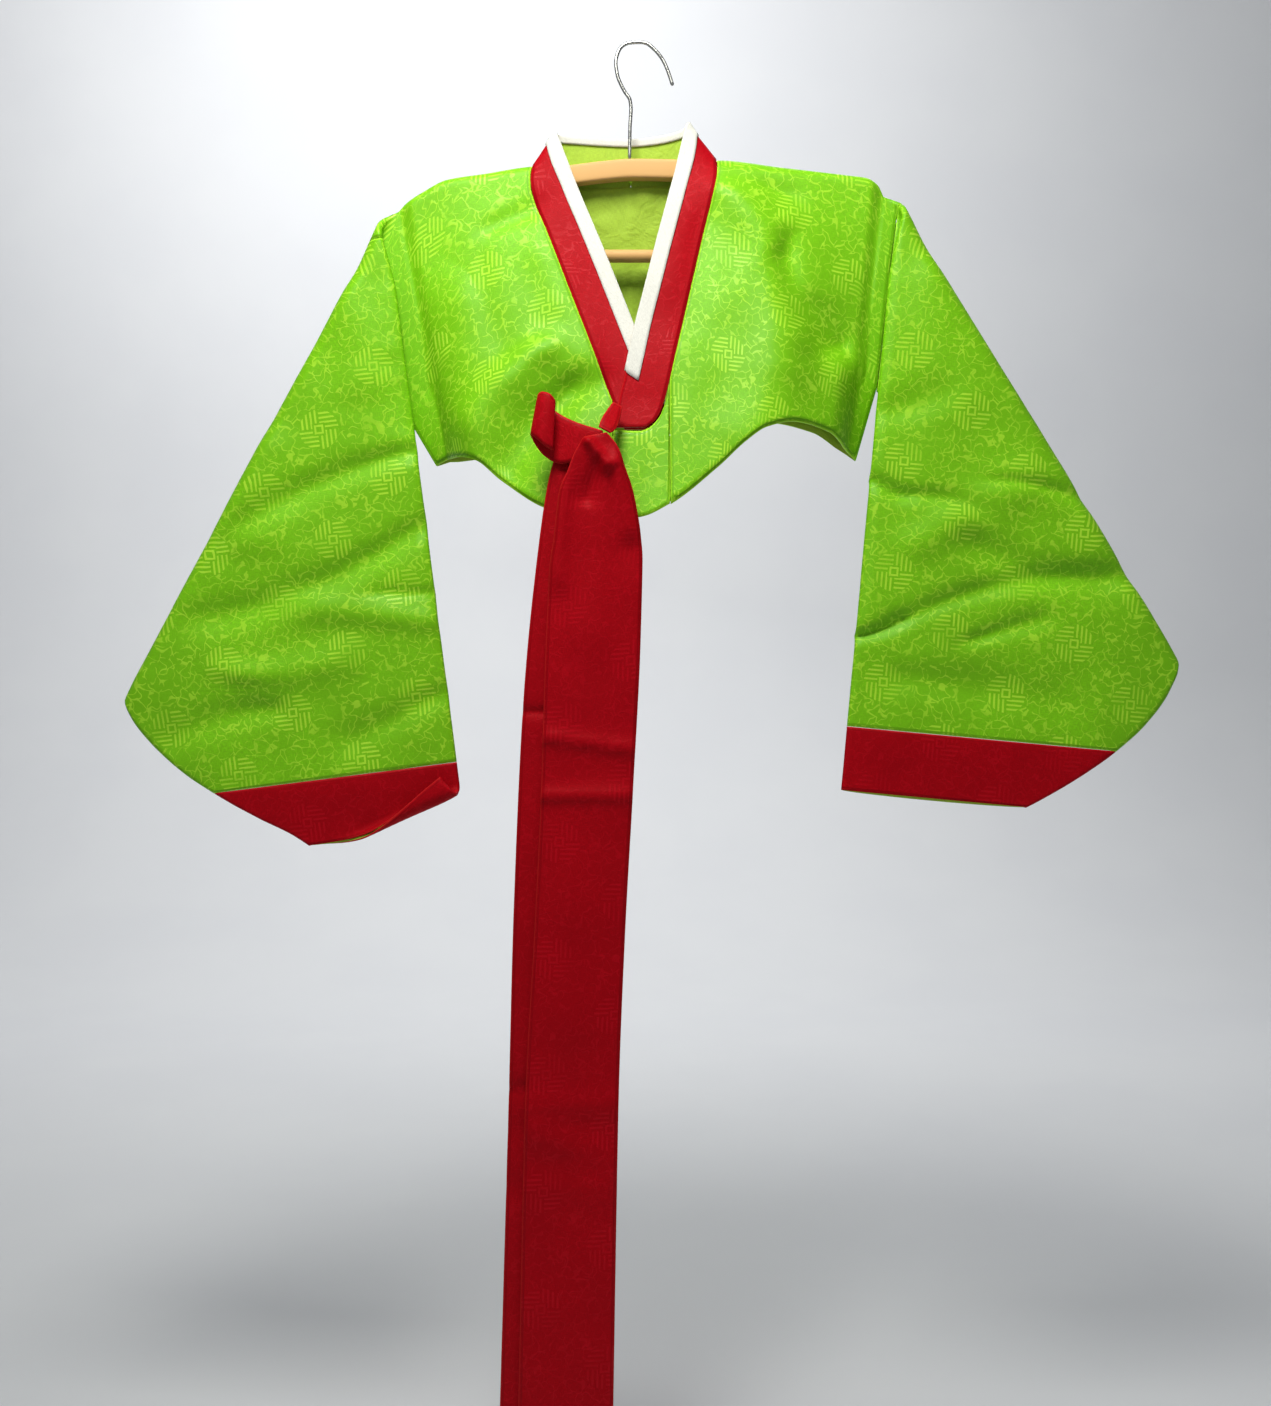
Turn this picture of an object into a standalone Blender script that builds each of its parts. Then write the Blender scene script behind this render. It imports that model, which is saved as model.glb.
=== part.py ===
"""A Korean women's jacket (jeogori) on a wooden hanger, built from its cut.

The frame has +Z up and the viewer at -Y. The origin is the inside top of the hanger's hook.
All sizes are in millimetres and are scaled to metres where a mesh is made.
Side -1 is the viewer's left (the wearer's right), side +1 the viewer's right.
"""

import math

import bmesh
import bpy
import numpy as np

MM = 0.001

# Cloth and seams
WALL = 1.5
SEAM = 0.3
COLLAR_WALL = 2.0
STRIP_WALL = 1.0
RIBBON_WALL = 1.5

# Hanger
WIRE = 3.2
HANGER_HALF_DEPTH = 6.0
YOKE_HEIGHT = 17.0
HANGER_REACH = 189.0
HANGER_BLOCK = 12.0
BAR_Z = -184.5
BAR_RADIUS = 5.5

# Shoulder line of the jacket over the hanger
SHOULDER = np.array([
    # x, z
    (-209, -146.5), (-203, -140), (-186, -128.7), (-168, -119.5), (-133, -113.9), (-95, -108),
    (-40, -105), (20, -103.5), (68, -102.6), (122, -108.7), (180, -115.5), (196, -117.6),
    (206, -123.5), (211, -133.5),
])

# Front hem, with how far it stands forward
FRONT_HEM = np.array([
    # x, z, forward
    (-166, -363, 14), (-152, -365, 34), (-138, -369.5, 48), (-116, -387, 58), (-80, -411.5, 68),
    (-33, -425, 74), (0, -422, 76), (24, -411, 76), (63, -380, 70), (87, -357.5, 66), (105, -345, 62),
    (130, -339, 55), (159, -344, 38), (179, -356, 12),
])

# Back hem
BACK_HEM = np.array([
    # x, z
    (-166, -363), (-120, -356), (-60, -348), (0, -340), (60, -331), (110, -326), (150, -335), (179, -356),
])

SIDE_TIP = {-1: (-176.5, -367), 1: (187, -362.5)}

# Sleeves: each flat tube is turned over toward the viewer along a slanting fold
ARM_TOP = {-1: (-209.0, -146.5), 1: (211.0, -133.5)}
FOLD_ANGLE = {-1: 61.4, 1: 58.3}
FOLD_FROM_TOP = {-1: 35.9, 1: 37.0}
PAST_SHOULDER = {-1: 37.0, 1: 18.0}
SLEEVE_LENGTH = 450.0
CUFF_LENGTH = 55.0
ARMHOLE = 205.0
ARMHOLE_SEAM = 0.9
HIDDEN_SQUEEZE = 0.58
ROLL_RADIUS = 8.0
ROLL_LEAD = 6.3
ROLL_LEAD_LENGTH = 70.0
SLEEVE_HALF_GAP = 4.5
EDGE_RADIUS = 1.5
SIDE_GAP = 1.3

# Width of the flat sleeve along its length, from the shoulder point
SLEEVE_WIDTH = np.array([
    # along, width
    (0, 205), (120, 226), (240, 250), (330, 270), (386, 279), (412, 272), (440, 256), (468, 231),
    (495, 199), (515, 171), (530, 148), (545, 130),
])

# The left cuff's corner is turned up along a second fold
CORNER_FOLD = {"x": -284.3, "z": -699.7, "angle": 24.5, "radius": 8.0}

# Neck and the seams at the centre
CENTRE_BACK = -8.0
NECK_DEPTH = 14.0
BODY_LENGTH = 235.0
OUTER_SHIFT = 4.2
SHIFT_DROP = 12.0
SHIFT_FROM = 0.2
SHIFT_SPAN = 0.7
INNER_FRONT_EDGE = -23.0
OVERLAP_SEAM = 24.5

# The outer overlap panel's top edge, round the collar's end, and the inner panel behind it
COLLAR_END = np.array([
    # x, z
    (-23, -347.5), (-1, -348.7), (6, -346.5), (12, -341.5), (17, -334.5), (22.5, -318), (25, -303),
])
INNER_PANEL = {"right": 38.0, "top": -352.0}

# Collar in front: outer (seam) edge and neck edge by height, on each side
COLLAR_OUTER = {
    -1: np.array([
        # z, x
        (-346, -13.0), (-324.6, -21.7), (-274, -40.3), (-223.3, -59.4), (-166.5, -80.6), (-141.4, -90.5),
        (-128.3, -94.1), (-117.7, -94.4), (-108, -93.0),
    ]),
    1: np.array([
        # z, x
        (-345.5, 3.0), (-341.6, 9.7), (-333.2, 15.9), (-317.1, 21.3), (-289.3, 27.6), (-224.9, 42),
        (-184.2, 51), (-109.1, 66.6), (-103.1, 66.8),
    ]),
}
COLLAR_NECK = {
    -1: np.array([
        # z, x
        (-346, 29.0), (-302.7, 12.2), (-281.9, 4), (-226, -16.9), (-170.2, -38.4), (-126.6, -55.9),
        (-108, -62.5),
    ]),
    1: np.array([
        # z, x
        (-345.5, -19.9), (-328.4, -18.8), (-296, -11.8), (-260.4, -4.6), (-226.6, 3.6), (-180.3, 14.8),
        (-102.9, 34.6),
    ]),
}
STRIP_WIDTH = 12.5

# Collar round the back of the neck, from the left shoulder to the right
COLLAR_BACK = np.array([
    # low x, low y, low z, high x, high y, high z
    (-92.0, -4.0, -107.0, -73.0, -6.0, -80.0),
    (-90.0, 5.5, -105.0, -74.0, 1.5, -77.3),
    (-82.0, 12.5, -109.0, -72.5, 8.5, -76.6),
    (-60.0, 15.5, -115.0, -56.0, 12.5, -77.0),
    (-12.0, 17.0, -117.5, -10.0, 14.0, -79.0),
    (28.0, 15.5, -114.0, 27.0, 12.0, -75.0),
    (54.0, 12.0, -106.5, 41.0, 8.5, -70.5),
    (62.5, 5.0, -101.5, 42.5, 1.5, -70.0),
    (65.0, -4.0, -101.5, 41.0, -6.0, -72.5),
])

# Ribbons, each row from one edge to the other
FRONT_TAIL = np.array([
    # left x, left z, right x, right z, forward
    (-45, -359, -27, -355, 97), (-53, -371.5, -18, -367, 96), (-59, -386.5, -12.8, -382.5, 94),
    (-65, -401, -6.5, -400, 91.5), (-70, -441, 0.2, -437, 89), (-73, -460, 1.8, -457, 88),
    (-77, -535, 0, -530, 87), (-80.5, -645, -6, -645, 86), (-86, -760, -12.4, -761, 86),
    (-93, -888, -17.3, -884, 86), (-99, -1144, -22, -1144, 86), (-101.4, -1245, -24.2, -1245, 86),
])
REAR_TAIL = np.array([
    # left x, left z, right x, right z, forward
    (-70, -374, -34, -374, 81.5), (-74.4, -390, -22, -390, 81.5), (-78.5, -413, -8, -411, 81.5),
    (-84.2, -456, -8, -456, 81.2), (-92.5, -535, -16, -535, 81), (-97.3, -605, -21, -605, 81),
    (-103.8, -762, -28, -762, 81), (-107, -888, -31, -888, 81), (-114.4, -1146, -38, -1146, 81),
    (-116.8, -1221, -40.5, -1221, 81),
])
LOOP = np.array([
    # top x, top z, bottom x, bottom z, forward
    (-30, -353, -36, -371, 91.5), (-50, -346.5, -51, -377, 90), (-63, -340, -64, -379, 87),
    (-74, -332, -78, -372, 84.5), (-81, -327, -86, -362, 86), (-82.5, -324, -88.5, -356, 90),
    (-79, -322, -84, -359.5, 94.5), (-73, -324, -77, -366, 96.5), (-69, -330, -71, -369, 94.5),
    (-69.5, -334, -70.5, -368, 91),
])
STUB = np.array([
    # left x, left z, right x, right z, forward
    (-22.5, -326, -15, -330, 72.2), (-27, -334, -17, -342, 80), (-31.5, -343, -20, -351, 88.5),
    (-33.5, -350, -24, -355, 92.5),
])

# Hook wire, from the yoke up and round
HOOK = np.array([
    # x, z
    (-9, -100.4), (-8.7, -73.9), (-7.8, -57), (-8.7, -48.7), (-13.6, -40.9), (-19.6, -27), (-21, -16.1),
    (-18.5, -6.1), (-13.6, -0.6), (-7.8, 1.2), (0, 1.6), (5.5, 0.6), (13.4, -5.6), (20.4, -14.8),
    (25.2, -26), (28.4, -36),
])

# Top of the hanger's yoke
YOKE_TOP = np.array([
    # x, z
    (-195, -138.5), (-186, -132.2), (-168, -123.0), (-133, -117.2), (-95, -111.4), (-63, -107),
    (-32, -103), (-6, -101), (33, -101.8), (50, -105), (68, -107.5), (122, -112.2), (180, -119), (195, -121.2),
])

COLOURS = {
    "green": (0.27, 0.66, 0.011, 1),
    "red": (0.52, 0.003, 0.013, 1),
    "white": (0.87, 0.86, 0.82, 1),
    "lining": (0.42, 0.62, 0.06, 1),
    "wood": (0.68, 0.38, 0.13, 1),
    "wire": (0.35, 0.35, 0.33, 1),
}


def smooth(table, x, column=1):
    """Read a column of a table at x along a curve that never overshoots its rows."""
    order = np.argsort(table[:, 0])
    xs = table[order, 0].astype(float)
    ys = table[order, column].astype(float)
    step = np.diff(xs)
    rise = np.diff(ys) / step
    slope = np.zeros(len(xs))
    flat = rise[:-1] * rise[1:] <= 0
    pair = np.where(flat, 1.0, rise[:-1] * rise[1:])
    total = np.where(flat, 1.0, rise[:-1] + rise[1:])
    slope[1:-1] = np.where(flat, 0.0, 2 * pair / total)
    slope[0] = rise[0]
    slope[-1] = rise[-1]
    x = np.clip(np.asarray(x, float), xs[0], xs[-1])
    i = np.clip(np.searchsorted(xs, x) - 1, 0, len(xs) - 2)
    t = (x - xs[i]) / step[i]
    return (
        ys[i] * (1 + 2 * t) * (1 - t) ** 2
        + slope[i] * step[i] * t * (1 - t) ** 2
        + ys[i + 1] * t * t * (3 - 2 * t)
        + slope[i + 1] * step[i] * t * t * (t - 1)
    )


def ease(t):
    """Go smoothly from 0 to 1."""
    t = np.clip(t, 0, 1)
    return t * t * (3 - 2 * t)


def unit(vectors):
    """Bring vectors to length 1."""
    return vectors / np.maximum(np.linalg.norm(vectors, axis=-1), 1e-9)[..., None]


def quarter(t):
    """Rise from 0 to 1 like a quarter of a circle."""
    return np.sqrt(1 - (1 - np.clip(t, 0, 1)) ** 2)


def turn_over(along, height, radius):
    """Roll a sheet over: the new distance along and the new height of points past the fold."""
    turn = np.clip(along / radius, 0, math.pi)
    beyond = np.maximum(along - math.pi * radius, 0)
    new_along = np.where(along < 0, along, (radius + height) * np.sin(turn) - beyond)
    new_height = np.where(along < 0, height, -radius + (radius + height) * np.cos(turn))
    return new_along, new_height


def arm_point(side, u, v, n):
    """Place the flat sleeve's point: u along its top fold, v down from it, n the layer's height behind."""
    fold = math.radians(FOLD_FROM_TOP[side])
    tilt = math.radians(FOLD_ANGLE[side])
    past_fold = u * math.sin(fold) - v * math.cos(fold)
    down = u * math.cos(fold) + v * math.sin(fold)
    lead = ROLL_LEAD * ease(down / ROLL_LEAD_LENGTH)
    across, n = turn_over(past_fold + lead, n, ROLL_RADIUS)
    across = np.where(past_fold + lead < 0, across * HIDDEN_SQUEEZE, across) - lead
    x = ARM_TOP[side][0] + side * (down * math.cos(tilt) + across * math.sin(tilt))
    z = ARM_TOP[side][1] - down * math.sin(tilt) + across * math.cos(tilt)
    return np.stack(np.broadcast_arrays(x, n, z), axis=-1)


def turn_corner(points):
    """Turn the left cuff's corner up toward the viewer along its slanting fold."""
    angle = math.radians(CORNER_FOLD["angle"])
    middle = -2 * ROLL_RADIUS
    dx = points[..., 0] - CORNER_FOLD["x"]
    dz = points[..., 2] - CORNER_FOLD["z"]
    along = dx * math.cos(angle) + dz * math.sin(angle)
    past = dx * math.sin(angle) - dz * math.cos(angle)
    new_past, height = turn_over(past, points[..., 1] - middle, CORNER_FOLD["radius"])
    x = CORNER_FOLD["x"] + along * math.cos(angle) + new_past * math.sin(angle)
    z = CORNER_FOLD["z"] + along * math.sin(angle) - new_past * math.cos(angle)
    return np.stack([x, middle + height, z], axis=-1)


def sleeve_half_gap(v, width):
    """Half the distance between a sleeve's two layers, closing at its top fold and underarm seam."""
    inside = np.clip(v / width, 0, 1)
    edge = EDGE_RADIUS * quarter(v / EDGE_RADIUS) * quarter((width - v) / EDGE_RADIUS)
    return edge + (SLEEVE_HALF_GAP - EDGE_RADIUS) * np.sqrt(np.sin(math.pi * inside))


def layer_steps(side, u, width, count):
    """Distances down one layer of the sleeve, closer together where it rolls over the fold."""
    fold = math.radians(FOLD_FROM_TOP[side])
    fine = np.linspace(EDGE_RADIUS, width - EDGE_RADIUS, 400)
    past = u * math.sin(fold) - fine * math.cos(fold)
    down = u * math.cos(fold) + fine * math.sin(fold)
    past = past + ROLL_LEAD * ease(down / ROLL_LEAD_LENGTH)
    density = 1 / width + 0.06 * np.exp(-(((past / ROLL_RADIUS - math.pi / 2) / 1.8) ** 2))
    total = np.concatenate([[0], np.cumsum((density[1:] + density[:-1]) / 2)])
    steps = np.interp(np.linspace(0, total[-1], count - 2), total, fine)
    return np.concatenate([[0], steps, [width]])


def sleeve_rings(side, stations, count):
    """Rings of the sleeve's outer and inner faces, from its flat cross-sections."""
    outer = []
    inner = []
    for u in stations:
        width = float(smooth(SLEEVE_WIDTH, u))
        v = layer_steps(side, u, width, count)
        n = sleeve_half_gap(v, width)
        ring = np.concatenate([np.stack([v, -n], 1), np.stack([v[-2:0:-1], n[-2:0:-1]], 1)])
        ahead = np.roll(ring, -1, 0) - ring
        behind = ring - np.roll(ring, 1, 0)
        along = unit(unit(ahead) + unit(behind))
        out = np.stack([along[:, 1], -along[:, 0]], 1) * WALL / 2
        for faces, flat in ((outer, ring + out), (inner, ring - out)):
            faces.append(arm_point(side, u, flat[:, 0], flat[:, 1]))
    return np.array(outer), np.array(inner)


def side_geometry(side):
    """Where the armpit's height lies between shoulder and hem, and x of the armpit and hem at the side."""
    armpit = arm_point(side, 0.0, ARMHOLE, 0.0)
    top = ARM_TOP[side]
    hem_x = FRONT_HEM[0, 0] if side < 0 else FRONT_HEM[-1, 0]
    hem_z = FRONT_HEM[0, 1] if side < 0 else FRONT_HEM[-1, 1]
    return (armpit[2] - top[1]) / (hem_z - top[1]), armpit[0], hem_x


def body_point(share, down, face):
    """The jacket's body: share runs from side -1 over the centre to side 1, down from shoulder to hem.

    face is -1 for the front and 1 for the back. The front stands forward more and more toward its hem,
    and the back is slightly hollow.
    """
    share, down = np.broadcast_arrays(np.asarray(share, float), np.asarray(down, float))
    out = np.zeros(share.shape + (3,))
    for side in (-1, 1):
        mine = share < 0 if side < 0 else share >= 0
        s = np.abs(share[mine])
        t = down[mine]
        armpit_down, armpit_x, hem_x = side_geometry(side)
        top_x = ARM_TOP[side][0]
        edge = np.where(
            t < armpit_down,
            top_x + (armpit_x - top_x) * t / armpit_down,
            armpit_x + (hem_x - armpit_x) * (t - armpit_down) / (1 - armpit_down),
        )
        top = smooth(SHOULDER, s * top_x)
        hem = smooth(FRONT_HEM if face < 0 else BACK_HEM, s * hem_x)
        drop = (top - hem) * t
        near_side = ease((s - 0.945) / 0.055)
        over_hanger = 8.0 * quarter(drop / 8.0)
        at_arm = sleeve_half_gap(ARMHOLE * t / armpit_down, 2 * ARMHOLE)
        half_gap = (1 - near_side) * over_hanger + near_side * at_arm
        if face < 0:
            forward = smooth(FRONT_HEM, s * hem_x, 2)
            bow = np.maximum(forward - 8, 0) * t ** (1 + 2 * s**6)
            if side > 0:
                bow = bow + OUTER_SHIFT * ease(drop / SHIFT_DROP) * (1 - ease((s - SHIFT_FROM) / SHIFT_SPAN))
        else:
            bow = 14 * np.sin(0.75 * math.pi * t) * (1 - s**4)
        out[mine] = np.stack([s * edge, face * (half_gap + bow), top - drop], axis=-1)
    return out


def share_at(side, face, down, edge_x):
    """The share at which a row of the body meets an edge whose x is a function of height, by halving."""
    low = np.full_like(down, -0.5 if side > 0 else -1.0)
    high = np.full_like(down, 1.0 if side > 0 else 0.5)
    for _ in range(40):
        middle = (low + high) / 2
        point = body_point(middle, down, face)
        less = point[..., 0] < edge_x(point[..., 2])
        low = np.where(less, middle, low)
        high = np.where(less, high, middle)
    return (low + high) / 2


def front_edge(side):
    """x of the front panel's inner edge at a height: along the collar, then straight down."""
    table = COLLAR_OUTER[side]

    def at(z):
        collar = smooth(table, z)
        if side < 0:
            return np.where(z < -326, INNER_FRONT_EDGE, np.minimum(collar, INNER_FRONT_EDGE)) - SEAM
        return np.where(z < -304, OVERLAP_SEAM, collar) + SEAM

    return at


def back_edge(side):
    """x of the back's centre seam, the same at every height."""
    return lambda z: np.full_like(z, CENTRE_BACK + side * SEAM / 2)


def bodice_grid(side, rows, columns, past_columns):
    """The mid-surface of one half of the bodice, from front hem over the shoulder to back hem."""
    armpit_down, _, _ = side_geometry(side)
    past = PAST_SHOULDER[side]
    neck = 0.0
    parts = []
    for face in (-1, 1):
        down = np.asarray(rows, float)
        if face < 0:
            start = share_at(side, face, down, front_edge(side))
            start[0] = start[1]
            neck = start[0]
        else:
            centre = share_at(side, face, down, back_edge(side))
            reach = quarter(down * BODY_LENGTH / NECK_DEPTH) ** 2
            start = neck * (1 - reach) + centre * reach
        across = np.linspace(0, 1, columns)
        share = start[:, None] + (side - start[:, None]) * across
        grid = body_point(share, down[:, None], face)
        edge = grid[:, -1].copy()
        bow = np.abs(edge[:, 1]) - sleeve_half_gap(ARMHOLE * down / armpit_down, 2 * ARMHOLE)
        strips = []
        seam_top = arm_point(side, past, ARMHOLE, 0.0)
        for share_past in np.arange(1, past_columns + 1) / past_columns:
            v = np.minimum(ARMHOLE * down / armpit_down, ARMHOLE)
            n = sleeve_half_gap(v, ARMHOLE * 1.012)
            arm = arm_point(side, past * share_past, v, face * np.where(v > 0, np.maximum(n, SIDE_GAP), 0))
            arm[:, 1] += face * np.maximum(bow, 0) * (1 - share_past)
            low = np.clip((down - armpit_down) / (1 - armpit_down), 0, 1)[:, None]
            tip = np.array([SIDE_TIP[side][0], 0, SIDE_TIP[side][1]])
            seam = seam_top + (tip - seam_top) * low + np.array([0, face * SIDE_GAP, 0])
            below = edge + (seam - edge) * share_past
            strips.append(np.where(down[:, None] <= armpit_down + 1e-6, arm, below))
        parts.append(np.concatenate([grid] + [s[:, None] for s in strips], axis=1))
    front, back = parts
    return np.concatenate([front[::-1], back[1:]])


def grid_normals(grid):
    """Unit normals of a grid of points."""
    down = np.gradient(grid, axis=0)
    across = np.gradient(grid, axis=1)
    return unit(np.cross(down, across))


def shell_mesh(name, outer, inner, ring):
    """One closed solid between two grids; ring closes the grids along their columns."""
    rows, columns = outer.shape[:2]
    index = np.arange(rows * columns).reshape(rows, columns)
    if ring:
        index = np.concatenate([index, index[:, :1]], axis=1)
    a, b, c, d = index[:-1, :-1], index[:-1, 1:], index[1:, 1:], index[1:, :-1]
    face = np.concatenate([np.stack([a, b, c], -1), np.stack([a, c, d], -1)]).reshape(-1, 3)
    shift = rows * columns
    faces = [face, face[:, ::-1] + shift]
    rims = [index[0, :], index[-1, ::-1]]
    if not ring:
        rims = [np.concatenate([index[0, :-1], index[:-1, -1], index[-1, :0:-1], index[:0:-1, 0]])]
        rims[0] = np.append(rims[0], rims[0][0])
    for rim in rims:
        faces.append(np.stack([rim[1:], rim[:-1], rim[:-1] + shift], -1))
        faces.append(np.stack([rim[1:], rim[:-1] + shift, rim[1:] + shift], -1))
    faces = np.concatenate(faces)
    points = np.concatenate([outer.reshape(-1, 3), inner.reshape(-1, 3)]) * MM
    p = points[faces]
    volume = np.einsum("ij,ij->i", p[:, 0], np.cross(p[:, 1], p[:, 2])).sum()
    if volume < 0:
        faces = faces[:, ::-1]
    mesh = bpy.data.meshes.new(name)
    mesh.from_pydata(points.tolist(), [], faces.tolist())
    mesh.shade_smooth()
    mesh.set_sharp_from_angle(angle=math.radians(40))
    return mesh


def add(name, mesh, colour):
    """Put a mesh in the scene as a named piece with its material."""
    piece = bpy.data.objects.new(name, mesh)
    bpy.context.collection.objects.link(piece)
    material = bpy.data.materials.get(colour) or bpy.data.materials.new(colour)
    material.use_nodes = True
    shader = material.node_tree.nodes["Principled BSDF"]
    shader.inputs["Base Color"].default_value = COLOURS[colour]
    shader.inputs["Roughness"].default_value = 0.35 if colour == "wire" else 0.6
    shader.inputs["Metallic"].default_value = 1.0 if colour == "wire" else 0.0
    mesh.materials.append(material)
    return piece


def sheet(name, grid, wall, colour):
    """A wall of cloth around a grid of points."""
    normal = grid_normals(grid)
    add(name, shell_mesh(name, grid + normal * wall / 2, grid - normal * wall / 2, False), colour)


def make_bodice():
    """Both halves of the bodice, front and back in one piece each."""
    rows = [0, 0.005, 0.013, 0.025, 0.042, 0.07, 0.105, 0.145, 0.2, 0.29, 0.4, 0.52, 0.64]
    for side, name, past_columns in ((-1, "bodice_right", 6), (1, "bodice_left", 3)):
        armpit_down, _, _ = side_geometry(side)
        down = rows + [armpit_down, (1 + armpit_down) / 2, 1]
        sheet(name, bodice_grid(side, down, 12, past_columns), WALL, "green")


def make_sleeves():
    """The two sleeves and their cuffs, turned over along the slanting fold."""
    for side, word in ((-1, "right"), (1, "left")):
        start = PAST_SHOULDER[side] + ARMHOLE_SEAM
        end = PAST_SHOULDER[side] + SLEEVE_LENGTH
        near = start + np.array([0, 8, 16, 25, 36, 50, 70, 100, 140, 185, 230, 275])
        stations = np.concatenate([near, np.linspace(335, 425, 7), [443, 463, end]])
        outer, inner = sleeve_rings(side, stations, 14)
        add("sleeve_" + word, shell_mesh("sleeve", outer, inner, True), "green")
        stations = np.linspace(end + SEAM, end + CUFF_LENGTH, 12 if side < 0 else 5)
        outer, inner = sleeve_rings(side, stations, 20 if side < 0 else 12)
        if side < 0:
            outer = turn_corner(outer)
            inner = turn_corner(inner)
        add("cuff_" + word, shell_mesh("cuff", outer, inner, True), "red")


def depth_at(x, z):
    """How far forward the front stands at a place, on the layer of its own side."""
    share = np.asarray(x, float) / 200
    down = np.full_like(share, 0.5)
    for _ in range(12):
        point = body_point(share, down, -1)
        top = body_point(share, 0 * down, -1)[..., 2]
        hem = body_point(share, 0 * down + 1, -1)[..., 2]
        down = np.clip((z - top) / (hem - top), 0.0, 1)
        reach = np.where(np.abs(share) > 1e-3, point[..., 0] / np.where(share == 0, 1, share), 200)
        share = np.clip(x / reach, -1, 1)
    point = body_point(share, down, -1)
    below = body_point(share, 0 * down, -1)[..., 2] - z
    shift = OUTER_SHIFT * ease(below / SHIFT_DROP) * (1 - ease((np.abs(share) - SHIFT_FROM) / SHIFT_SPAN))
    return -point[..., 1] - np.where(share >= 0, shift, 0)


def refine(rows):
    """Put a smooth row between each two rows of a grid."""
    count = np.arange(len(rows), dtype=float)
    place = np.arange(0, len(rows) - 0.75, 0.5)
    flat = rows.reshape(len(rows), -1)
    read = [smooth(np.stack([count, flat[:, k]], 1), place) for k in range(flat.shape[1])]
    return np.stack(read, 1).reshape(-1, *rows.shape[1:])


def front_collar_row(side, z, across, raised):
    """One row of the collar in front, laid on the front panel at a height."""
    seam = float(smooth(COLLAR_OUTER[side], z))
    neck = float(smooth(COLLAR_NECK[side], z))
    x = seam + (neck - seam) * across
    height = np.full_like(x, z)
    return np.stack([x, -depth_at(x, height) - raised, height], 1)


def collar_grid(columns):
    """The collar from its hidden left end, round the back of the neck, to its right end.

    Across, the first column is the seam edge and the last one the neck edge.
    """
    across = np.linspace(0, 1, columns)
    rows = []
    for z in (-346, -325, -300, -270, -240, -205, -170, -140, -122):
        rows.append(front_collar_row(-1, z, across, SEAM))
    for low_x, low_y, low_z, high_x, high_y, high_z in COLLAR_BACK:
        low = np.array([low_x, low_y, low_z])
        high = np.array([high_x, high_y, high_z])
        rows.append(low + (high - low) * across[:, None])
    for z in (-116, -136, -165, -195, -225, -255, -285, -305, -320, -332, -340, -345):
        rows.append(front_collar_row(1, z, across, OUTER_SHIFT + SEAM))
    return refine(np.array(rows))


def make_collar():
    """The red collar band and the white strip that lies on its neck edge."""
    grid = collar_grid(5)
    sheet("collar", grid, COLLAR_WALL, "red")
    normal = grid_normals(grid)
    outside = -np.sign(normal[0, 0, 1])
    raised = grid + normal * outside * (COLLAR_WALL / 2 + SEAM + STRIP_WALL / 2)
    neck = raised[:, -2:]
    width = np.linalg.norm(neck[:, 1] - neck[:, 0], axis=1)[:, None]
    edge = (neck[:, 1] - neck[:, 0]) / width
    start = neck[:, 1] - edge * STRIP_WIDTH
    end = neck[:, 1] + edge * 0.8
    strip = np.stack([start, (start + end) / 2, end], 1)[2:-9]
    sheet("collar_strip", strip, STRIP_WALL, "white")


def make_overlaps():
    """The front overlap panels: the outer one shows, the inner one lies behind it."""
    x = np.linspace(INNER_FRONT_EDGE + 1, OVERLAP_SEAM - SEAM, 7)
    across = np.linspace(0, 1, 5)[:, None]
    top = smooth(COLLAR_END, x)
    z = top + (smooth(FRONT_HEM, x) + 1.0 - top) * across
    grid_x = np.broadcast_to(x, z.shape)
    depth = depth_at(grid_x, z) + OUTER_SHIFT
    sheet("overlap_outer", np.stack([grid_x, -depth, z], -1), WALL, "green")
    x = np.linspace(INNER_FRONT_EDGE + SEAM, INNER_PANEL["right"], 5)
    z = INNER_PANEL["top"] + (smooth(FRONT_HEM, x) + 3.0 - INNER_PANEL["top"]) * across
    grid_x = np.broadcast_to(x, z.shape)
    sheet("overlap_inner", np.stack([grid_x, -depth_at(grid_x, z), z], -1), WALL, "green")


def ribbon_grid(table, rows, columns):
    """A band between two edges given row by row, smoothed along its length."""
    place = np.linspace(0, len(table) - 1, rows)
    count = np.arange(len(table), dtype=float)
    read = [smooth(np.stack([count, table[:, k]], 1), place) for k in range(5)]
    first = np.stack([read[0], -read[4], read[1]], -1)
    last = np.stack([read[2], -read[4], read[3]], -1)
    across = np.linspace(0, 1, columns)[:, None]
    return first[:, None] + (last - first)[:, None] * across


def make_ribbons():
    """The two tie ribbons, in the stretches that show."""
    sheet("ribbon_front_tail", ribbon_grid(FRONT_TAIL, 24, 5), RIBBON_WALL, "red")
    sheet("ribbon_rear_tail", ribbon_grid(REAR_TAIL, 16, 4), RIBBON_WALL, "red")
    sheet("ribbon_loop", ribbon_grid(LOOP, 28, 5), RIBBON_WALL, "red")
    sheet("ribbon_stub", ribbon_grid(STUB, 7, 4), RIBBON_WALL, "red")


def make_lining():
    """The lining of the back, just inside it."""
    down = np.array([0.075, 0.12, 0.2, 0.32, 0.46, 0.6, 0.75, 0.88, 0.97])[:, None]
    share = np.linspace(-0.84, 0.84, 15)[None, :]
    grid = body_point(share, down, 1)
    grid[..., 1] -= (WALL + STRIP_WALL) / 2 + SEAM
    sheet("back_lining", grid, STRIP_WALL, "lining")


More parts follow.
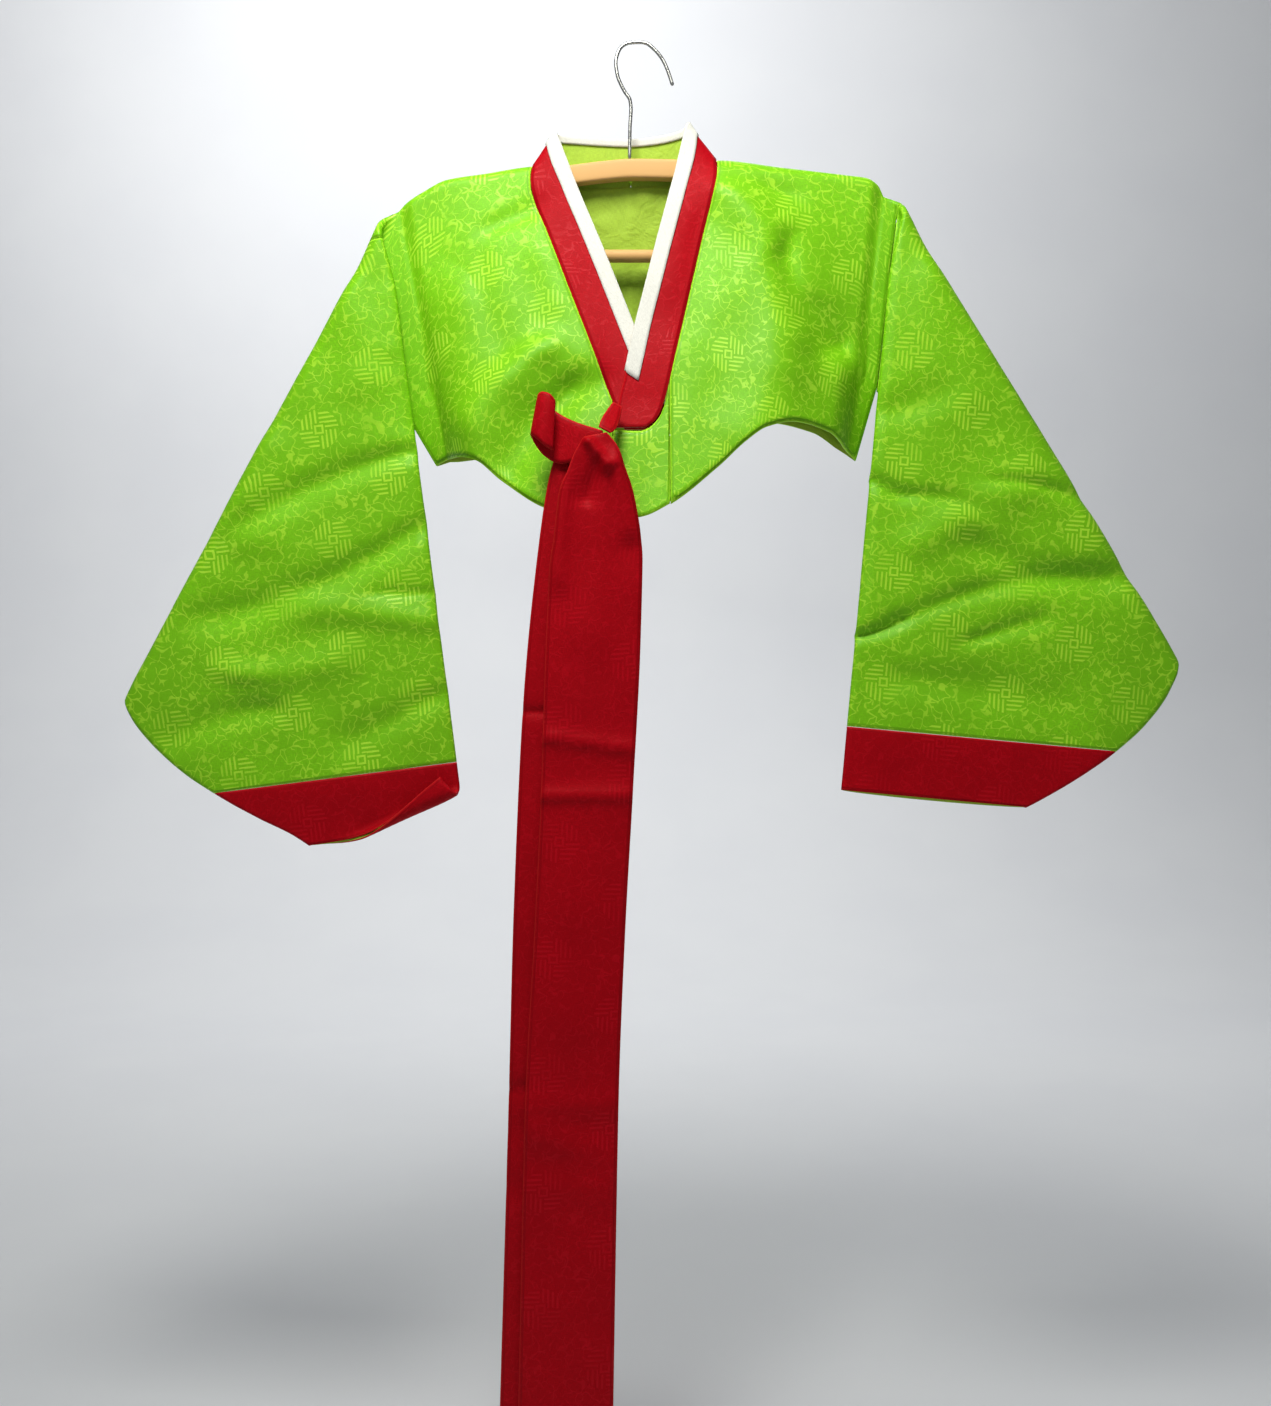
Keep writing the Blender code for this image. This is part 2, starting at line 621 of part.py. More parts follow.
def solid_of_rings(name, rings):
    """A closed solid through rings of points, with its ends filled."""
    rings = np.asarray(rings) * MM
    count, around = rings.shape[:2]
    index = np.arange(count * around).reshape(count, around)
    wrapped = np.concatenate([index, index[:, :1]], axis=1)
    quads = np.stack([wrapped[:-1, :-1], wrapped[:-1, 1:], wrapped[1:, 1:], wrapped[1:, :-1]], -1)
    faces = quads.reshape(-1, 4).tolist() + [index[0, ::-1].tolist(), index[-1].tolist()]
    mesh = bpy.data.meshes.new(name)
    mesh.from_pydata(rings.reshape(-1, 3).tolist(), [], faces)
    shape = bmesh.new()
    shape.from_mesh(mesh)
    bmesh.ops.recalc_face_normals(shape, faces=shape.faces)
    shape.to_mesh(mesh)
    shape.free()
    mesh.shade_smooth()
    mesh.set_sharp_from_angle(angle=math.radians(40))
    return mesh


def make_hanger():
    """The yoke with its drooping ends, the bar between them and the wire hook."""
    end = HANGER_REACH
    block = end - HANGER_BLOCK
    corner = [block - 3, block - 0.5, end]
    stations = np.concatenate([-np.array(corner[::-1]), np.linspace(-165, 165, 21), corner])
    rings = []
    for x in stations:
        top = float(smooth(YOKE_TOP, x))
        low = BAR_Z - BAR_RADIUS - 1.5 if abs(x) > block - 1 else top - YOKE_HEIGHT
        half = HANGER_HALF_DEPTH
        section = [
            (-2.5, top), (2.5, top), (half, top - 4), (half, low + 2),
            (half - 2, low), (2 - half, low), (-half, low + 2), (-half, top - 4),
        ]
        rings.append([(x, y, z) for y, z in section])
    add("hanger_yoke", solid_of_rings("yoke", rings), "wood")
    turns = np.linspace(0, 2 * math.pi, 13)[:-1]
    reach = block - 3 - SEAM
    rings = [
        [(x, BAR_RADIUS * math.cos(a), BAR_Z + BAR_RADIUS * math.sin(a)) for a in turns]
        for x in np.linspace(-reach, reach, 5)
    ]
    add("hanger_bar", solid_of_rings("bar", rings), "wood")
    count = np.arange(len(HOOK), dtype=float)
    place = np.linspace(0, len(HOOK) - 1, 46)
    x = smooth(np.stack([count, HOOK[:, 0]], 1), place)
    z = smooth(np.stack([count, HOOK[:, 1]], 1), place)
    path = np.stack([x, 0 * x, z], -1)
    along = np.gradient(path, axis=0)
    along /= np.linalg.norm(along, axis=1)[:, None]
    side = np.stack([-along[:, 2], 0 * x, along[:, 0]], -1)
    turns = np.linspace(0, 2 * math.pi, 9)[:-1]
    ring = side[:, None] * np.cos(turns)[:, None] + np.array([0, 1, 0]) * np.sin(turns)[:, None]
    add("hanger_hook", solid_of_rings("hook", path[:, None] + ring * WIRE / 2), "wire")


def main():
    """Build every piece in an empty scene."""
    for piece in list(bpy.data.objects):
        bpy.data.objects.remove(piece)
    make_bodice()
    make_sleeves()
    make_collar()
    make_overlaps()
    make_ribbons()
    make_lining()
    make_hanger()


main()
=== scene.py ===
import math

import bpy
import numpy as np
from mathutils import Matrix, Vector


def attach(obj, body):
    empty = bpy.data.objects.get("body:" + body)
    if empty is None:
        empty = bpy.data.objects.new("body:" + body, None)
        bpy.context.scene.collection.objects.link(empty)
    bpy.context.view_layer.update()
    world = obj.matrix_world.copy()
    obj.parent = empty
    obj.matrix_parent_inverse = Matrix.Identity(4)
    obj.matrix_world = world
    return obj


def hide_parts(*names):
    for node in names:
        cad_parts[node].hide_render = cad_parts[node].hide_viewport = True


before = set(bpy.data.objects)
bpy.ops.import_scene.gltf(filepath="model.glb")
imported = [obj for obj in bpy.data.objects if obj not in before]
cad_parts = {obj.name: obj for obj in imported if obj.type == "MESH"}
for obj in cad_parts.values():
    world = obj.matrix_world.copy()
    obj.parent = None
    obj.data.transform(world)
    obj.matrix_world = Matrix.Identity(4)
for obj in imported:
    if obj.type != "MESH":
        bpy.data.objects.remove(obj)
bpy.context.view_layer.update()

bl_info = {
    "name": "Hanbok jacket on a hanger",
    "version": (1, 0, 0),
    "blender": (4, 5, 0),
    "location": "View3D > Sidebar > Jacket",
    "description": "A Korean women's jacket of figured cloth, hung on a wooden hanger with its ribbons tied",
    "category": "Object",
}

MM = 0.001
IMAGE_SIZE = (1271, 1406)
FOCAL_PIXELS = 1495.0
EYE = (-0.0039, -1.3, -0.573)
FLOOR_Z = -1.262

# Cloth and seams
WALL = 1.5
SEAM = 0.3
COLLAR_WALL = 2.0
STRIP_WALL = 1.0
RIBBON_WALL = 1.5

# Hanger
WIRE = 3.2
HANGER_HALF_DEPTH = 6.0
YOKE_HEIGHT = 17.0
HANGER_REACH = 189.0
HANGER_BLOCK = 12.0
BAR_Z = -184.5
BAR_RADIUS = 5.5

# Shoulder line of the jacket over the hanger
SHOULDER = np.array([
    # x, z
    (-209, -146.5), (-203, -140), (-186, -128.7), (-168, -119.5), (-133, -113.9), (-95, -108),
    (-40, -105), (20, -103.5), (68, -102.6), (122, -108.7), (180, -115.5), (196, -117.6),
    (206, -123.5), (211, -133.5),
])

# Front hem, with how far it stands forward
FRONT_HEM = np.array([
    # x, z, forward
    (-166, -363, 14), (-152, -365, 34), (-138, -369.5, 48), (-116, -387, 58), (-80, -411.5, 68),
    (-33, -425, 74), (0, -422, 76), (24, -411, 76), (63, -380, 70), (87, -357.5, 66), (105, -345, 62),
    (130, -339, 55), (159, -344, 38), (179, -356, 12),
])

# Back hem
BACK_HEM = np.array([
    # x, z
    (-166, -363), (-120, -356), (-60, -348), (0, -340), (60, -331), (110, -326), (150, -335), (179, -356),
])

SIDE_TIP = {-1: (-176.5, -367), 1: (187, -362.5)}

# Sleeves: each flat tube is turned over toward the viewer along a slanting fold
ARM_TOP = {-1: (-209.0, -146.5), 1: (211.0, -133.5)}
FOLD_ANGLE = {-1: 61.4, 1: 58.3}
FOLD_FROM_TOP = {-1: 35.9, 1: 37.0}
PAST_SHOULDER = {-1: 37.0, 1: 18.0}
SLEEVE_LENGTH = 450.0
CUFF_LENGTH = 55.0
ARMHOLE = 205.0
ARMHOLE_SEAM = 0.9
HIDDEN_SQUEEZE = 0.58
ROLL_RADIUS = 8.0
ROLL_LEAD = 6.3
ROLL_LEAD_LENGTH = 70.0
SLEEVE_HALF_GAP = 4.5
EDGE_RADIUS = 1.5
SIDE_GAP = 1.3

# Width of the flat sleeve along its length, from the shoulder point
SLEEVE_WIDTH = np.array([
    # along, width
    (0, 205), (120, 226), (240, 250), (330, 270), (386, 279), (412, 272), (440, 256), (468, 231),
    (495, 199), (515, 171), (530, 148), (545, 130),
])

# The left cuff's corner is turned up along a second fold
CORNER_FOLD = {"x": -284.3, "z": -699.7, "angle": 24.5, "radius": 8.0}

# Neck and the seams at the centre
CENTRE_BACK = -8.0
NECK_DEPTH = 14.0
BODY_LENGTH = 235.0
OUTER_SHIFT = 4.2
SHIFT_DROP = 12.0
SHIFT_FROM = 0.2
SHIFT_SPAN = 0.7
INNER_FRONT_EDGE = -23.0
OVERLAP_SEAM = 24.5

# The outer overlap panel's top edge, round the collar's end, and the inner panel behind it
COLLAR_END = np.array([
    # x, z
    (-23, -347.5), (-1, -348.7), (6, -346.5), (12, -341.5), (17, -334.5), (22.5, -318), (25, -303),
])
INNER_PANEL = {"right": 38.0, "top": -352.0}

# Collar in front: outer (seam) edge and neck edge by height, on each side
COLLAR_OUTER = {
    -1: np.array([
        # z, x
        (-346, -13.0), (-324.6, -21.7), (-274, -40.3), (-223.3, -59.4), (-166.5, -80.6), (-141.4, -90.5),
        (-128.3, -94.1), (-117.7, -94.4), (-108, -93.0),
    ]),
    1: np.array([
        # z, x
        (-345.5, 3.0), (-341.6, 9.7), (-333.2, 15.9), (-317.1, 21.3), (-289.3, 27.6), (-224.9, 42),
        (-184.2, 51), (-109.1, 66.6), (-103.1, 66.8),
    ]),
}
COLLAR_NECK = {
    -1: np.array([
        # z, x
        (-346, 29.0), (-302.7, 12.2), (-281.9, 4), (-226, -16.9), (-170.2, -38.4), (-126.6, -55.9),
        (-108, -62.5),
    ]),
    1: np.array([
        # z, x
        (-345.5, -19.9), (-328.4, -18.8), (-296, -11.8), (-260.4, -4.6), (-226.6, 3.6), (-180.3, 14.8),
        (-102.9, 34.6),
    ]),
}
STRIP_WIDTH = 12.5

# Collar round the back of the neck, from the left shoulder to the right
COLLAR_BACK = np.array([
    # low x, low y, low z, high x, high y, high z
    (-92.0, -4.0, -107.0, -73.0, -6.0, -80.0),
    (-90.0, 5.5, -105.0, -74.0, 1.5, -77.3),
    (-82.0, 12.5, -109.0, -72.5, 8.5, -76.6),
    (-60.0, 15.5, -115.0, -56.0, 12.5, -77.0),
    (-12.0, 17.0, -117.5, -10.0, 14.0, -79.0),
    (28.0, 15.5, -114.0, 27.0, 12.0, -75.0),
    (54.0, 12.0, -106.5, 41.0, 8.5, -70.5),
    (62.5, 5.0, -101.5, 42.5, 1.5, -70.0),
    (65.0, -4.0, -101.5, 41.0, -6.0, -72.5),
])

# Ribbons, each row from one edge to the other
FRONT_TAIL = np.array([
    # left x, left z, right x, right z, forward
    (-45, -359, -27, -355, 97), (-53, -371.5, -18, -367, 96), (-59, -386.5, -12.8, -382.5, 94),
    (-65, -401, -6.5, -400, 91.5), (-70, -441, 0.2, -437, 89), (-73, -460, 1.8, -457, 88),
    (-77, -535, 0, -530, 87), (-80.5, -645, -6, -645, 86), (-86, -760, -12.4, -761, 86),
    (-93, -888, -17.3, -884, 86), (-99, -1144, -22, -1144, 86), (-101.4, -1245, -24.2, -1245, 86),
])
REAR_TAIL = np.array([
    # left x, left z, right x, right z, forward
    (-70, -374, -34, -374, 81.5), (-74.4, -390, -22, -390, 81.5), (-78.5, -413, -8, -411, 81.5),
    (-84.2, -456, -8, -456, 81.2), (-92.5, -535, -16, -535, 81), (-97.3, -605, -21, -605, 81),
    (-103.8, -762, -28, -762, 81), (-107, -888, -31, -888, 81), (-114.4, -1146, -38, -1146, 81),
    (-116.8, -1221, -40.5, -1221, 81),
])
LOOP = np.array([
    # top x, top z, bottom x, bottom z, forward
    (-30, -353, -36, -371, 91.5), (-50, -346.5, -51, -377, 90), (-63, -340, -64, -379, 87),
    (-74, -332, -78, -372, 84.5), (-81, -327, -86, -362, 86), (-82.5, -324, -88.5, -356, 90),
    (-79, -322, -84, -359.5, 94.5), (-73, -324, -77, -366, 96.5), (-69, -330, -71, -369, 94.5),
    (-69.5, -334, -70.5, -368, 91),
])
STUB = np.array([
    # left x, left z, right x, right z, forward
    (-22.5, -326, -15, -330, 72.2), (-27, -334, -17, -342, 80), (-31.5, -343, -20, -351, 88.5),
    (-33.5, -350, -24, -355, 92.5),
])

# Hook wire, from the yoke up and round
HOOK = np.array([
    # x, z
    (-9, -100.4), (-8.7, -73.9), (-7.8, -57), (-8.7, -48.7), (-13.6, -40.9), (-19.6, -27), (-21, -16.1),
    (-18.5, -6.1), (-13.6, -0.6), (-7.8, 1.2), (0, 1.6), (5.5, 0.6), (13.4, -5.6), (20.4, -14.8),
    (25.2, -26), (28.4, -36),
])

# Top of the hanger's yoke
YOKE_TOP = np.array([
    # x, z
    (-195, -138.5), (-186, -132.2), (-168, -123.0), (-133, -117.2), (-95, -111.4), (-63, -107),
    (-32, -103), (-6, -101), (33, -101.8), (50, -105), (68, -107.5), (122, -112.2), (180, -119),
    (195, -121.2),
])

# Soft folds of the front, in the plane of the front
FRONT_FOLDS = np.array([
    # start x, start z, end x, end z, width, height, bend, power
    (-208, -175, -84, -145, 9, -2.6, 8, 2), (-50, -300, -116, -393, 18, -6.5, 6, 2),
    (-70, -268, -150, -350, 17, 6, 8, 2), (-24, -300, -84, -342, 14, -2, 0, 2),
    (-162, -207, -178, -348, 34, 2.5, 0, 2),
    (66, -122, 126, -288, 24, 6.5, -22, 2), (123, -177, 180, -276, 20, -7.5, 14, 2),
    (102, -125, 192, -140, 9, -2.5, 4, 2), (57, -152, 36, -264, 14, -2, 0, 2),
    (126, -288, 84, -363, 26, 3, 0, 2), (-84, -183, -42, -294, 18, 2, 0, 2),
    (168, -276, 180, -354, 14, 2.5, 0, 2), (-140, -190, -110, -290, 12, -1.2, 5, 2),
])

# Soft folds of the back
BACK_FOLDS = np.array([
    # start x, start z, end x, end z, width, height, bend, power
    (-150, -140, -110, -300, 20, -4, 14, 2), (140, -140, 118, -310, 24, 4.5, -12, 2),
    (-60, -150, -44, -330, 26, 2.8, 0, 2), (52, -160, 70, -320, 18, -3, 6, 2),
    (-180, -170, -84, -142, 9, -2, 4, 2), (84, -138, 180, -162, 9, -2, -4, 2),
    (0, -220, 20, -335, 15, 2, 0, 2),
])

# Soft folds of the sleeves, by side
SLEEVE_FOLDS = {
    -1: np.array([
        # start x, start z, end x, end z, width, height, bend, power
        (-183, -354, -360, -434, 11, -3.5, 10, 2), (-179, -414, -387, -504, 13, -4.1, -14, 2),
        (-166, -479, -233, -478, 4, -2.2, 0, 1.3), (-166, -504, -306, -488, 12, 2.7, 0, 2),
        (-306, -578, -413, -611, 14, -3.2, 8, 2), (-259, -207, -233, -307, 22, 2.4, 0, 2),
        (-162, -561, -259, -611, 12, -2.4, 0, 2), (-320, -341, -346, -441, 26, 3, 0, 2),
        (-213, -277, -193, -341, 9, -2.2, 0, 2), (-363, -545, -239, -528, 14, 3, 10, 2),
    ]),
    1: np.array([
        # start x, start z, end x, end z, width, height, bend, power
        (191, -377, 229, -397, 5, -4.6, 0, 1.4), (225, -395, 301, -413, 8, -2.7, -6, 2),
        (301, -382, 399, -406, 6, -3, -5, 1.6), (180, -516, 229, -498, 5, -4.9, 4, 1.4),
        (229, -500, 438, -467, 9, -3.2, -16, 2), (276, -431, 409, -471, 16, -3.8, 10, 2),
        (279, -521, 352, -498, 8, -2.7, 0, 2), (203, -326, 272, -305, 14, -2.4, 0, 2),
        (229, -442, 344, -377, 18, 3.2, 0, 2), (214, -550, 373, -572, 18, -3, 0, 2),
        (247, -196, 272, -326, 24, 2.7, 0, 2),
    ]),
}

# Pressed creases of the ribbons, from their storage, and the pull of the knot
TAIL_FOLDS = {
    "front": np.array([
        # start x, start z, end x, end z, width, height, bend, power
        (-92, -598, 8, -612, 5, 2.6, 0, 1.1), (-98, -648, 8, -647, 5, 2.6, 0, 1.2),
        (-106, -900, -4, -898, 5, 2.4, 0, 1.2), (-106, -954, -8, -951, 4.5, -1.2, 0, 1.2),
        (-108, -966, -8, -963, 5, 2.2, 0, 1.2),
        (-100, -915, -14, -948, 8, 2.2, 0, 1.2), (-44, -360, -24, -384, 5, 4.4, 0, 1.6),
        (-34, -376, -44, -412, 6, -2, 0, 1.8), (-20, -372, -8, -440, 7, 2.8, 0, 1.8),
        (-58, -390, -66, -480, 7, 2.2, 3, 1.8), (-26, -380, -38, -540, 12, 1.2, 0, 2),
        (-60, -700, -50, -860, 20, 1.4, 0, 2),
    ]),
    "rear": np.array([
        # start x, start z, end x, end z, width, height, bend, power
        (-112, -580, -6, -581, 5, -2, 0, 1.2), (-124, -888, -16, -887, 5, -2, 0, 1.2),
        (-126, -921, -18, -922, 5, -1.2, 0, 1.2), (-128, -967, -20, -966, 5, -1.8, 0, 1.2),
    ]),
}

# Unevenness over the folds: size and height of a coarse and of a fine ripple, and the seeds of both
BODY_RIPPLES = ((70, 0.5), (28, 0.16))
SLEEVE_RIPPLES = ((80, 0.5), (26, 0.15))
FRONT_SEEDS = (3, 4)
BACK_SEEDS = (5, 6)
SLEEVE_SEEDS = {-1: (7, 10), 1: (9, 12)}
RIBBON_SEED = 20
LINING_SEED = 31

# Folds start this far below the shoulder line, and reach their full height over this length
FOLDS_START = 3
FOLDS_FADE = 34

# The hanger's ends lie behind the front further out and higher up than this, with the fades in to there
BLOCK_BEHIND = {"x": 120, "z": -235, "fade_x": 30, "fade_z": 25}

# Rows of the bodice near the shoulder, where it bends most, as shares of its length
SHOULDER_ROWS = np.array([0, 0.0015, 0.003, 0.005, 0.008, 0.0125, 0.018, 0.025, 0.033, 0.042, 0.052])
NEXT_ROW = 0.064

# Points across half a bodice, those of them with folds of full height, and points down a sleeve's layer
BODICE_COLUMNS = 84
FULL_FOLD_COLUMNS = 72
SLEEVE_COLUMNS = 84

# Cuffs: share of the layers' distance left at the mouth, and how far the layer underneath hangs past
CUFF_MOUTH = {-1: (0.3, 1.2), 1: (0.35, 2.2)}

# White strip: rows of the collar that it leaves free at its ends, and the slant of its cut ends in rows
STRIP_ROWS = {"first": 4, "from_end": 18, "slant": 1.0}

# How far the middle of a ribbon stands out between its edges
RIBBON_CROWN = 0.8

# Lining: height of its small creases, and the pressed seam along the centre back
LINING_RIPPLE = (34, 0.7)
LINING_SEAM = {"aside": -1.2, "width": 1.6, "height": 0.8}

# The yoke's section: 0 would make it a rectangle and 1 an ellipse
YOKE_SQUARENESS = 0.35

# Figured weave, in millimetres of flat cloth: the roundel, its bars and the square round its middle
ROUNDEL_RADIUS = 17.0
SCROLL_FROM = 18.5
BAR_PITCH = 3.9
BAR_WIDTH = 1.7
FIRST_BAR = 1.1
BAR_GAP = 1.0
BARS_FROM = 5.4
SQUARE_HALF_SIDE = 3.1
SQUARE_HALF_LINE = 0.85

# Cloud outlines: scale of the noise that pulls them, how far in metres, scale of the cells, width of the
# line in the cells' own measure, where the line is broken, and its strength beside the roundel's
SCROLL_PULL_SCALE = 130.0
SCROLL_PULL = 0.011
SCROLL_CELLS = 112.0
SCROLL_LINE = (0.03, 0.065)
SCROLL_BREAKS = (0.33, 0.43)
SCROLL_SHARE = 0.75

# Turned edges, in millimetres from the edge: where the painted highlight along the edge ends, and the row of
# stitches
EDGE_HIGHLIGHT = (0.5, 1.1)
STITCHES_AT = 2.4
STITCH_LINE = (0.2, 0.9)
EDGE_PUCKER = 4.0

# How each figured cloth takes the light
CLOTH_LOOK = {
    # strength of the figure, sheen, its tint, roughness, gloss
    "green cloth": (0.55, 0.05, (0.9, 1.0, 0.1), 0.5, 0.2),
    "red cloth": (0.22, 0.0, (1.0, 0.1, 0.1), 0.55, 0.07),
}
# Depth of the plain cloths' small creases, which also sets the painted shade along them
CRUMPLE = {"lining cloth": 0.45, "white cloth": 0.12}

# Studio paper: how far it reaches in front, behind and to each side, the bend's radius and its top
PAPER = {"front": -7.0, "behind": 1.9, "side": 7.0, "radius": 1.6, "top": 6.0}
LIGHTS = (
    # name, place, aims at, size, power, colour
    ("key", (-0.15, -0.6, 0.5), (-0.02, 0, -0.4), 0.4, 14, (1.0, 1.0, 0.95)),
    ("front", (-1.6, -2.6, 0.2), (0, 0, -0.6), 1.8, 4, (1.0, 1.0, 1.0)),
    ("fill", (2.2, -2.0, -0.4), (0, 0, -0.6), 2.0, 2, (0.95, 0.98, 1.0)),
    ("back", (0.4, 2.4, 1.2), (0, 0, -0.4), 1.8, 18, (1.0, 1.0, 1.0)),
    ("wall", (-0.7, 1.2, 1.9), (-0.3, 3.5, 1.2), 1.6, 78, (1.0, 1.0, 1.0)),
)
SENSOR_WIDTH = 36.0
SIDES = ((-1, "right"), (1, "left"))


def smooth(table, x, column=1):
    """Read a column of a table at x along a curve that never overshoots its rows."""
    order = np.argsort(table[:, 0])
    xs = table[order, 0].astype(float)
    ys = table[order, column].astype(float)
    step = np.diff(xs)
    rise = np.diff(ys) / step
    slope = np.zeros(len(xs))
    flat = rise[:-1] * rise[1:] <= 0
    pair = np.where(flat, 1.0, rise[:-1] * rise[1:])
    total = np.where(flat, 1.0, rise[:-1] + rise[1:])
    slope[1:-1] = np.where(flat, 0.0, 2 * pair / total)
    slope[0] = rise[0]
    slope[-1] = rise[-1]
    x = np.clip(np.asarray(x, float), xs[0], xs[-1])
    i = np.clip(np.searchsorted(xs, x) - 1, 0, len(xs) - 2)
    t = (x - xs[i]) / step[i]
    return (
        ys[i] * (1 + 2 * t) * (1 - t) ** 2
        + slope[i] * step[i] * t * (1 - t) ** 2
        + ys[i + 1] * t * t * (3 - 2 * t)
        + slope[i + 1] * step[i] * t * t * (t - 1)
    )


def ease(t):
    """Go smoothly from 0 to 1."""
    t = np.clip(t, 0, 1)
    return t * t * (3 - 2 * t)


def unit(vectors):
    """Bring vectors to length 1."""
    return vectors / np.maximum(np.linalg.norm(vectors, axis=-1), 1e-9)[..., None]


def quarter(t):
    """Rise from 0 to 1 like a quarter of a circle."""
    return np.sqrt(1 - (1 - np.clip(t, 0, 1)) ** 2)


def spread(x, y, z):
    """Points from three arrays that are spread to one shape."""
    return np.stack(np.broadcast_arrays(x, y, z), -1)


def turn_over(along, height, radius):
    """Roll a sheet over: the new distance along and the new height of points past the fold."""
    turn = np.clip(along / radius, 0, math.pi)
    beyond = np.maximum(along - math.pi * radius, 0)
    new_along = np.where(along < 0, along, (radius + height) * np.sin(turn) - beyond)
    new_height = np.where(along < 0, height, -radius + (radius + height) * np.cos(turn))
    return new_along, new_height


def arm_point(side, u, v, n):
    """Place the flat sleeve's point: u along its top fold, v down from it, n the layer's height behind."""
    fold = math.radians(FOLD_FROM_TOP[side])
    tilt = math.radians(FOLD_ANGLE[side])
    past_fold = u * math.sin(fold) - v * math.cos(fold)
    down = u * math.cos(fold) + v * math.sin(fold)
    lead = ROLL_LEAD * ease(down / ROLL_LEAD_LENGTH)
    across, n = turn_over(past_fold + lead, n, ROLL_RADIUS)
    across = np.where(past_fold + lead < 0, across * HIDDEN_SQUEEZE, across) - lead
    x = ARM_TOP[side][0] + side * (down * math.cos(tilt) + across * math.sin(tilt))
    z = ARM_TOP[side][1] - down * math.sin(tilt) + across * math.cos(tilt)
    return spread(x, n, z)


def turn_corner(points):
    """Turn the left cuff's corner up toward the viewer along its slanting fold."""
    angle = math.radians(CORNER_FOLD["angle"])
    middle = -2 * ROLL_RADIUS
    dx = points[..., 0] - CORNER_FOLD["x"]
    dz = points[..., 2] - CORNER_FOLD["z"]
    along = dx * math.cos(angle) + dz * math.sin(angle)
    past = dx * math.sin(angle) - dz * math.cos(angle)
    new_past, height = turn_over(past, points[..., 1] - middle, CORNER_FOLD["radius"])
    x = CORNER_FOLD["x"] + along * math.cos(angle) + new_past * math.sin(angle)
    z = CORNER_FOLD["z"] + along * math.sin(angle) - new_past * math.cos(angle)
    return np.stack([x, middle + height, z], axis=-1)


def sleeve_half_gap(v, width):
    """Half the distance between a sleeve's two layers, closing at its top fold and underarm seam."""
    inside = np.clip(v / width, 0, 1)
    edge = EDGE_RADIUS * quarter(v / EDGE_RADIUS) * quarter((width - v) / EDGE_RADIUS)
    return edge + (SLEEVE_HALF_GAP - EDGE_RADIUS) * np.sqrt(np.sin(math.pi * inside))


def layer_steps(side, u, width, count):
    """Distances down one layer of the sleeve, closer together where it rolls over the fold."""
    fold = math.radians(FOLD_FROM_TOP[side])
    fine = np.linspace(EDGE_RADIUS, width - EDGE_RADIUS, 400)
    past = u * math.sin(fold) - fine * math.cos(fold)
    down = u * math.cos(fold) + fine * math.sin(fold)
    past = past + ROLL_LEAD * ease(down / ROLL_LEAD_LENGTH)
    density = 1 / width + 0.06 * np.exp(-(((past / ROLL_RADIUS - math.pi / 2) / 1.8) ** 2))
    total = np.concatenate([[0], np.cumsum((density[1:] + density[:-1]) / 2)])
    steps = np.interp(np.linspace(0, total[-1], count - 2), total, fine)
    return np.concatenate([[0], steps, [width]])


def side_geometry(side):
    """Where the armpit's height lies between shoulder and hem, and x of the armpit and hem at the side."""
    armpit = arm_point(side, 0.0, ARMHOLE, 0.0)
    top = ARM_TOP[side]
    hem_x = FRONT_HEM[0, 0] if side < 0 else FRONT_HEM[-1, 0]
    hem_z = FRONT_HEM[0, 1] if side < 0 else FRONT_HEM[-1, 1]
    return (armpit[2] - top[1]) / (hem_z - top[1]), armpit[0], hem_x


def outer_shift(drop, share):
    """How far the left front lies over the right one: fully at the centre, not at the shoulder and side."""
    return OUTER_SHIFT * ease(drop / SHIFT_DROP) * (1 - ease((share - SHIFT_FROM) / SHIFT_SPAN))


def body_point(share, down, face):
    """The jacket's body: share runs from side -1 over the centre to side 1, down from shoulder to hem.

    face is -1 for the front and 1 for the back. The front stands forward more and more toward its hem,
    and the back is slightly hollow.
    """
    share, down = np.broadcast_arrays(np.asarray(share, float), np.asarray(down, float))
    out = np.zeros(share.shape + (3,))
    for side in (-1, 1):
        mine = share < 0 if side < 0 else share >= 0
        s = np.abs(share[mine])
        t = down[mine]
        armpit_down, armpit_x, hem_x = side_geometry(side)
        top_x = ARM_TOP[side][0]
        edge = np.where(
            t < armpit_down,
            top_x + (armpit_x - top_x) * t / armpit_down,
            armpit_x + (hem_x - armpit_x) * (t - armpit_down) / (1 - armpit_down),
        )
        top = smooth(SHOULDER, s * top_x)
        hem = smooth(FRONT_HEM if face < 0 else BACK_HEM, s * hem_x)
        drop = (top - hem) * t
        near_side = ease((s - 0.945) / 0.055)
        over_hanger = 8.0 * quarter(drop / 8.0)
        at_arm = sleeve_half_gap(ARMHOLE * t / armpit_down, 2 * ARMHOLE)
        half_gap = (1 - near_side) * over_hanger + near_side * at_arm
        if face < 0:
            forward = smooth(FRONT_HEM, s * hem_x, 2)
            bow = np.maximum(forward - 8, 0) * t ** (1 + 2 * s**6)
            if side > 0:
                bow = bow + outer_shift(drop, s)
        else:
            bow = 14 * np.sin(0.75 * math.pi * t) * (1 - s**4)
        out[mine] = np.stack([s * edge, face * (half_gap + bow), top - drop], axis=-1)
    return out


def share_at(side, face, down, edge_x):
    """The share at which a row of the body meets an edge whose x is a function of height, by halving."""
    low = np.full_like(down, -0.5 if side > 0 else -1.0)
    high = np.full_like(down, 1.0 if side > 0 else 0.5)
    for _ in range(40):
        middle = (low + high) / 2
        point = body_point(middle, down, face)
        less = point[..., 0] < edge_x(point[..., 2])
        low = np.where(less, middle, low)
        high = np.where(less, high, middle)
    return (low + high) / 2


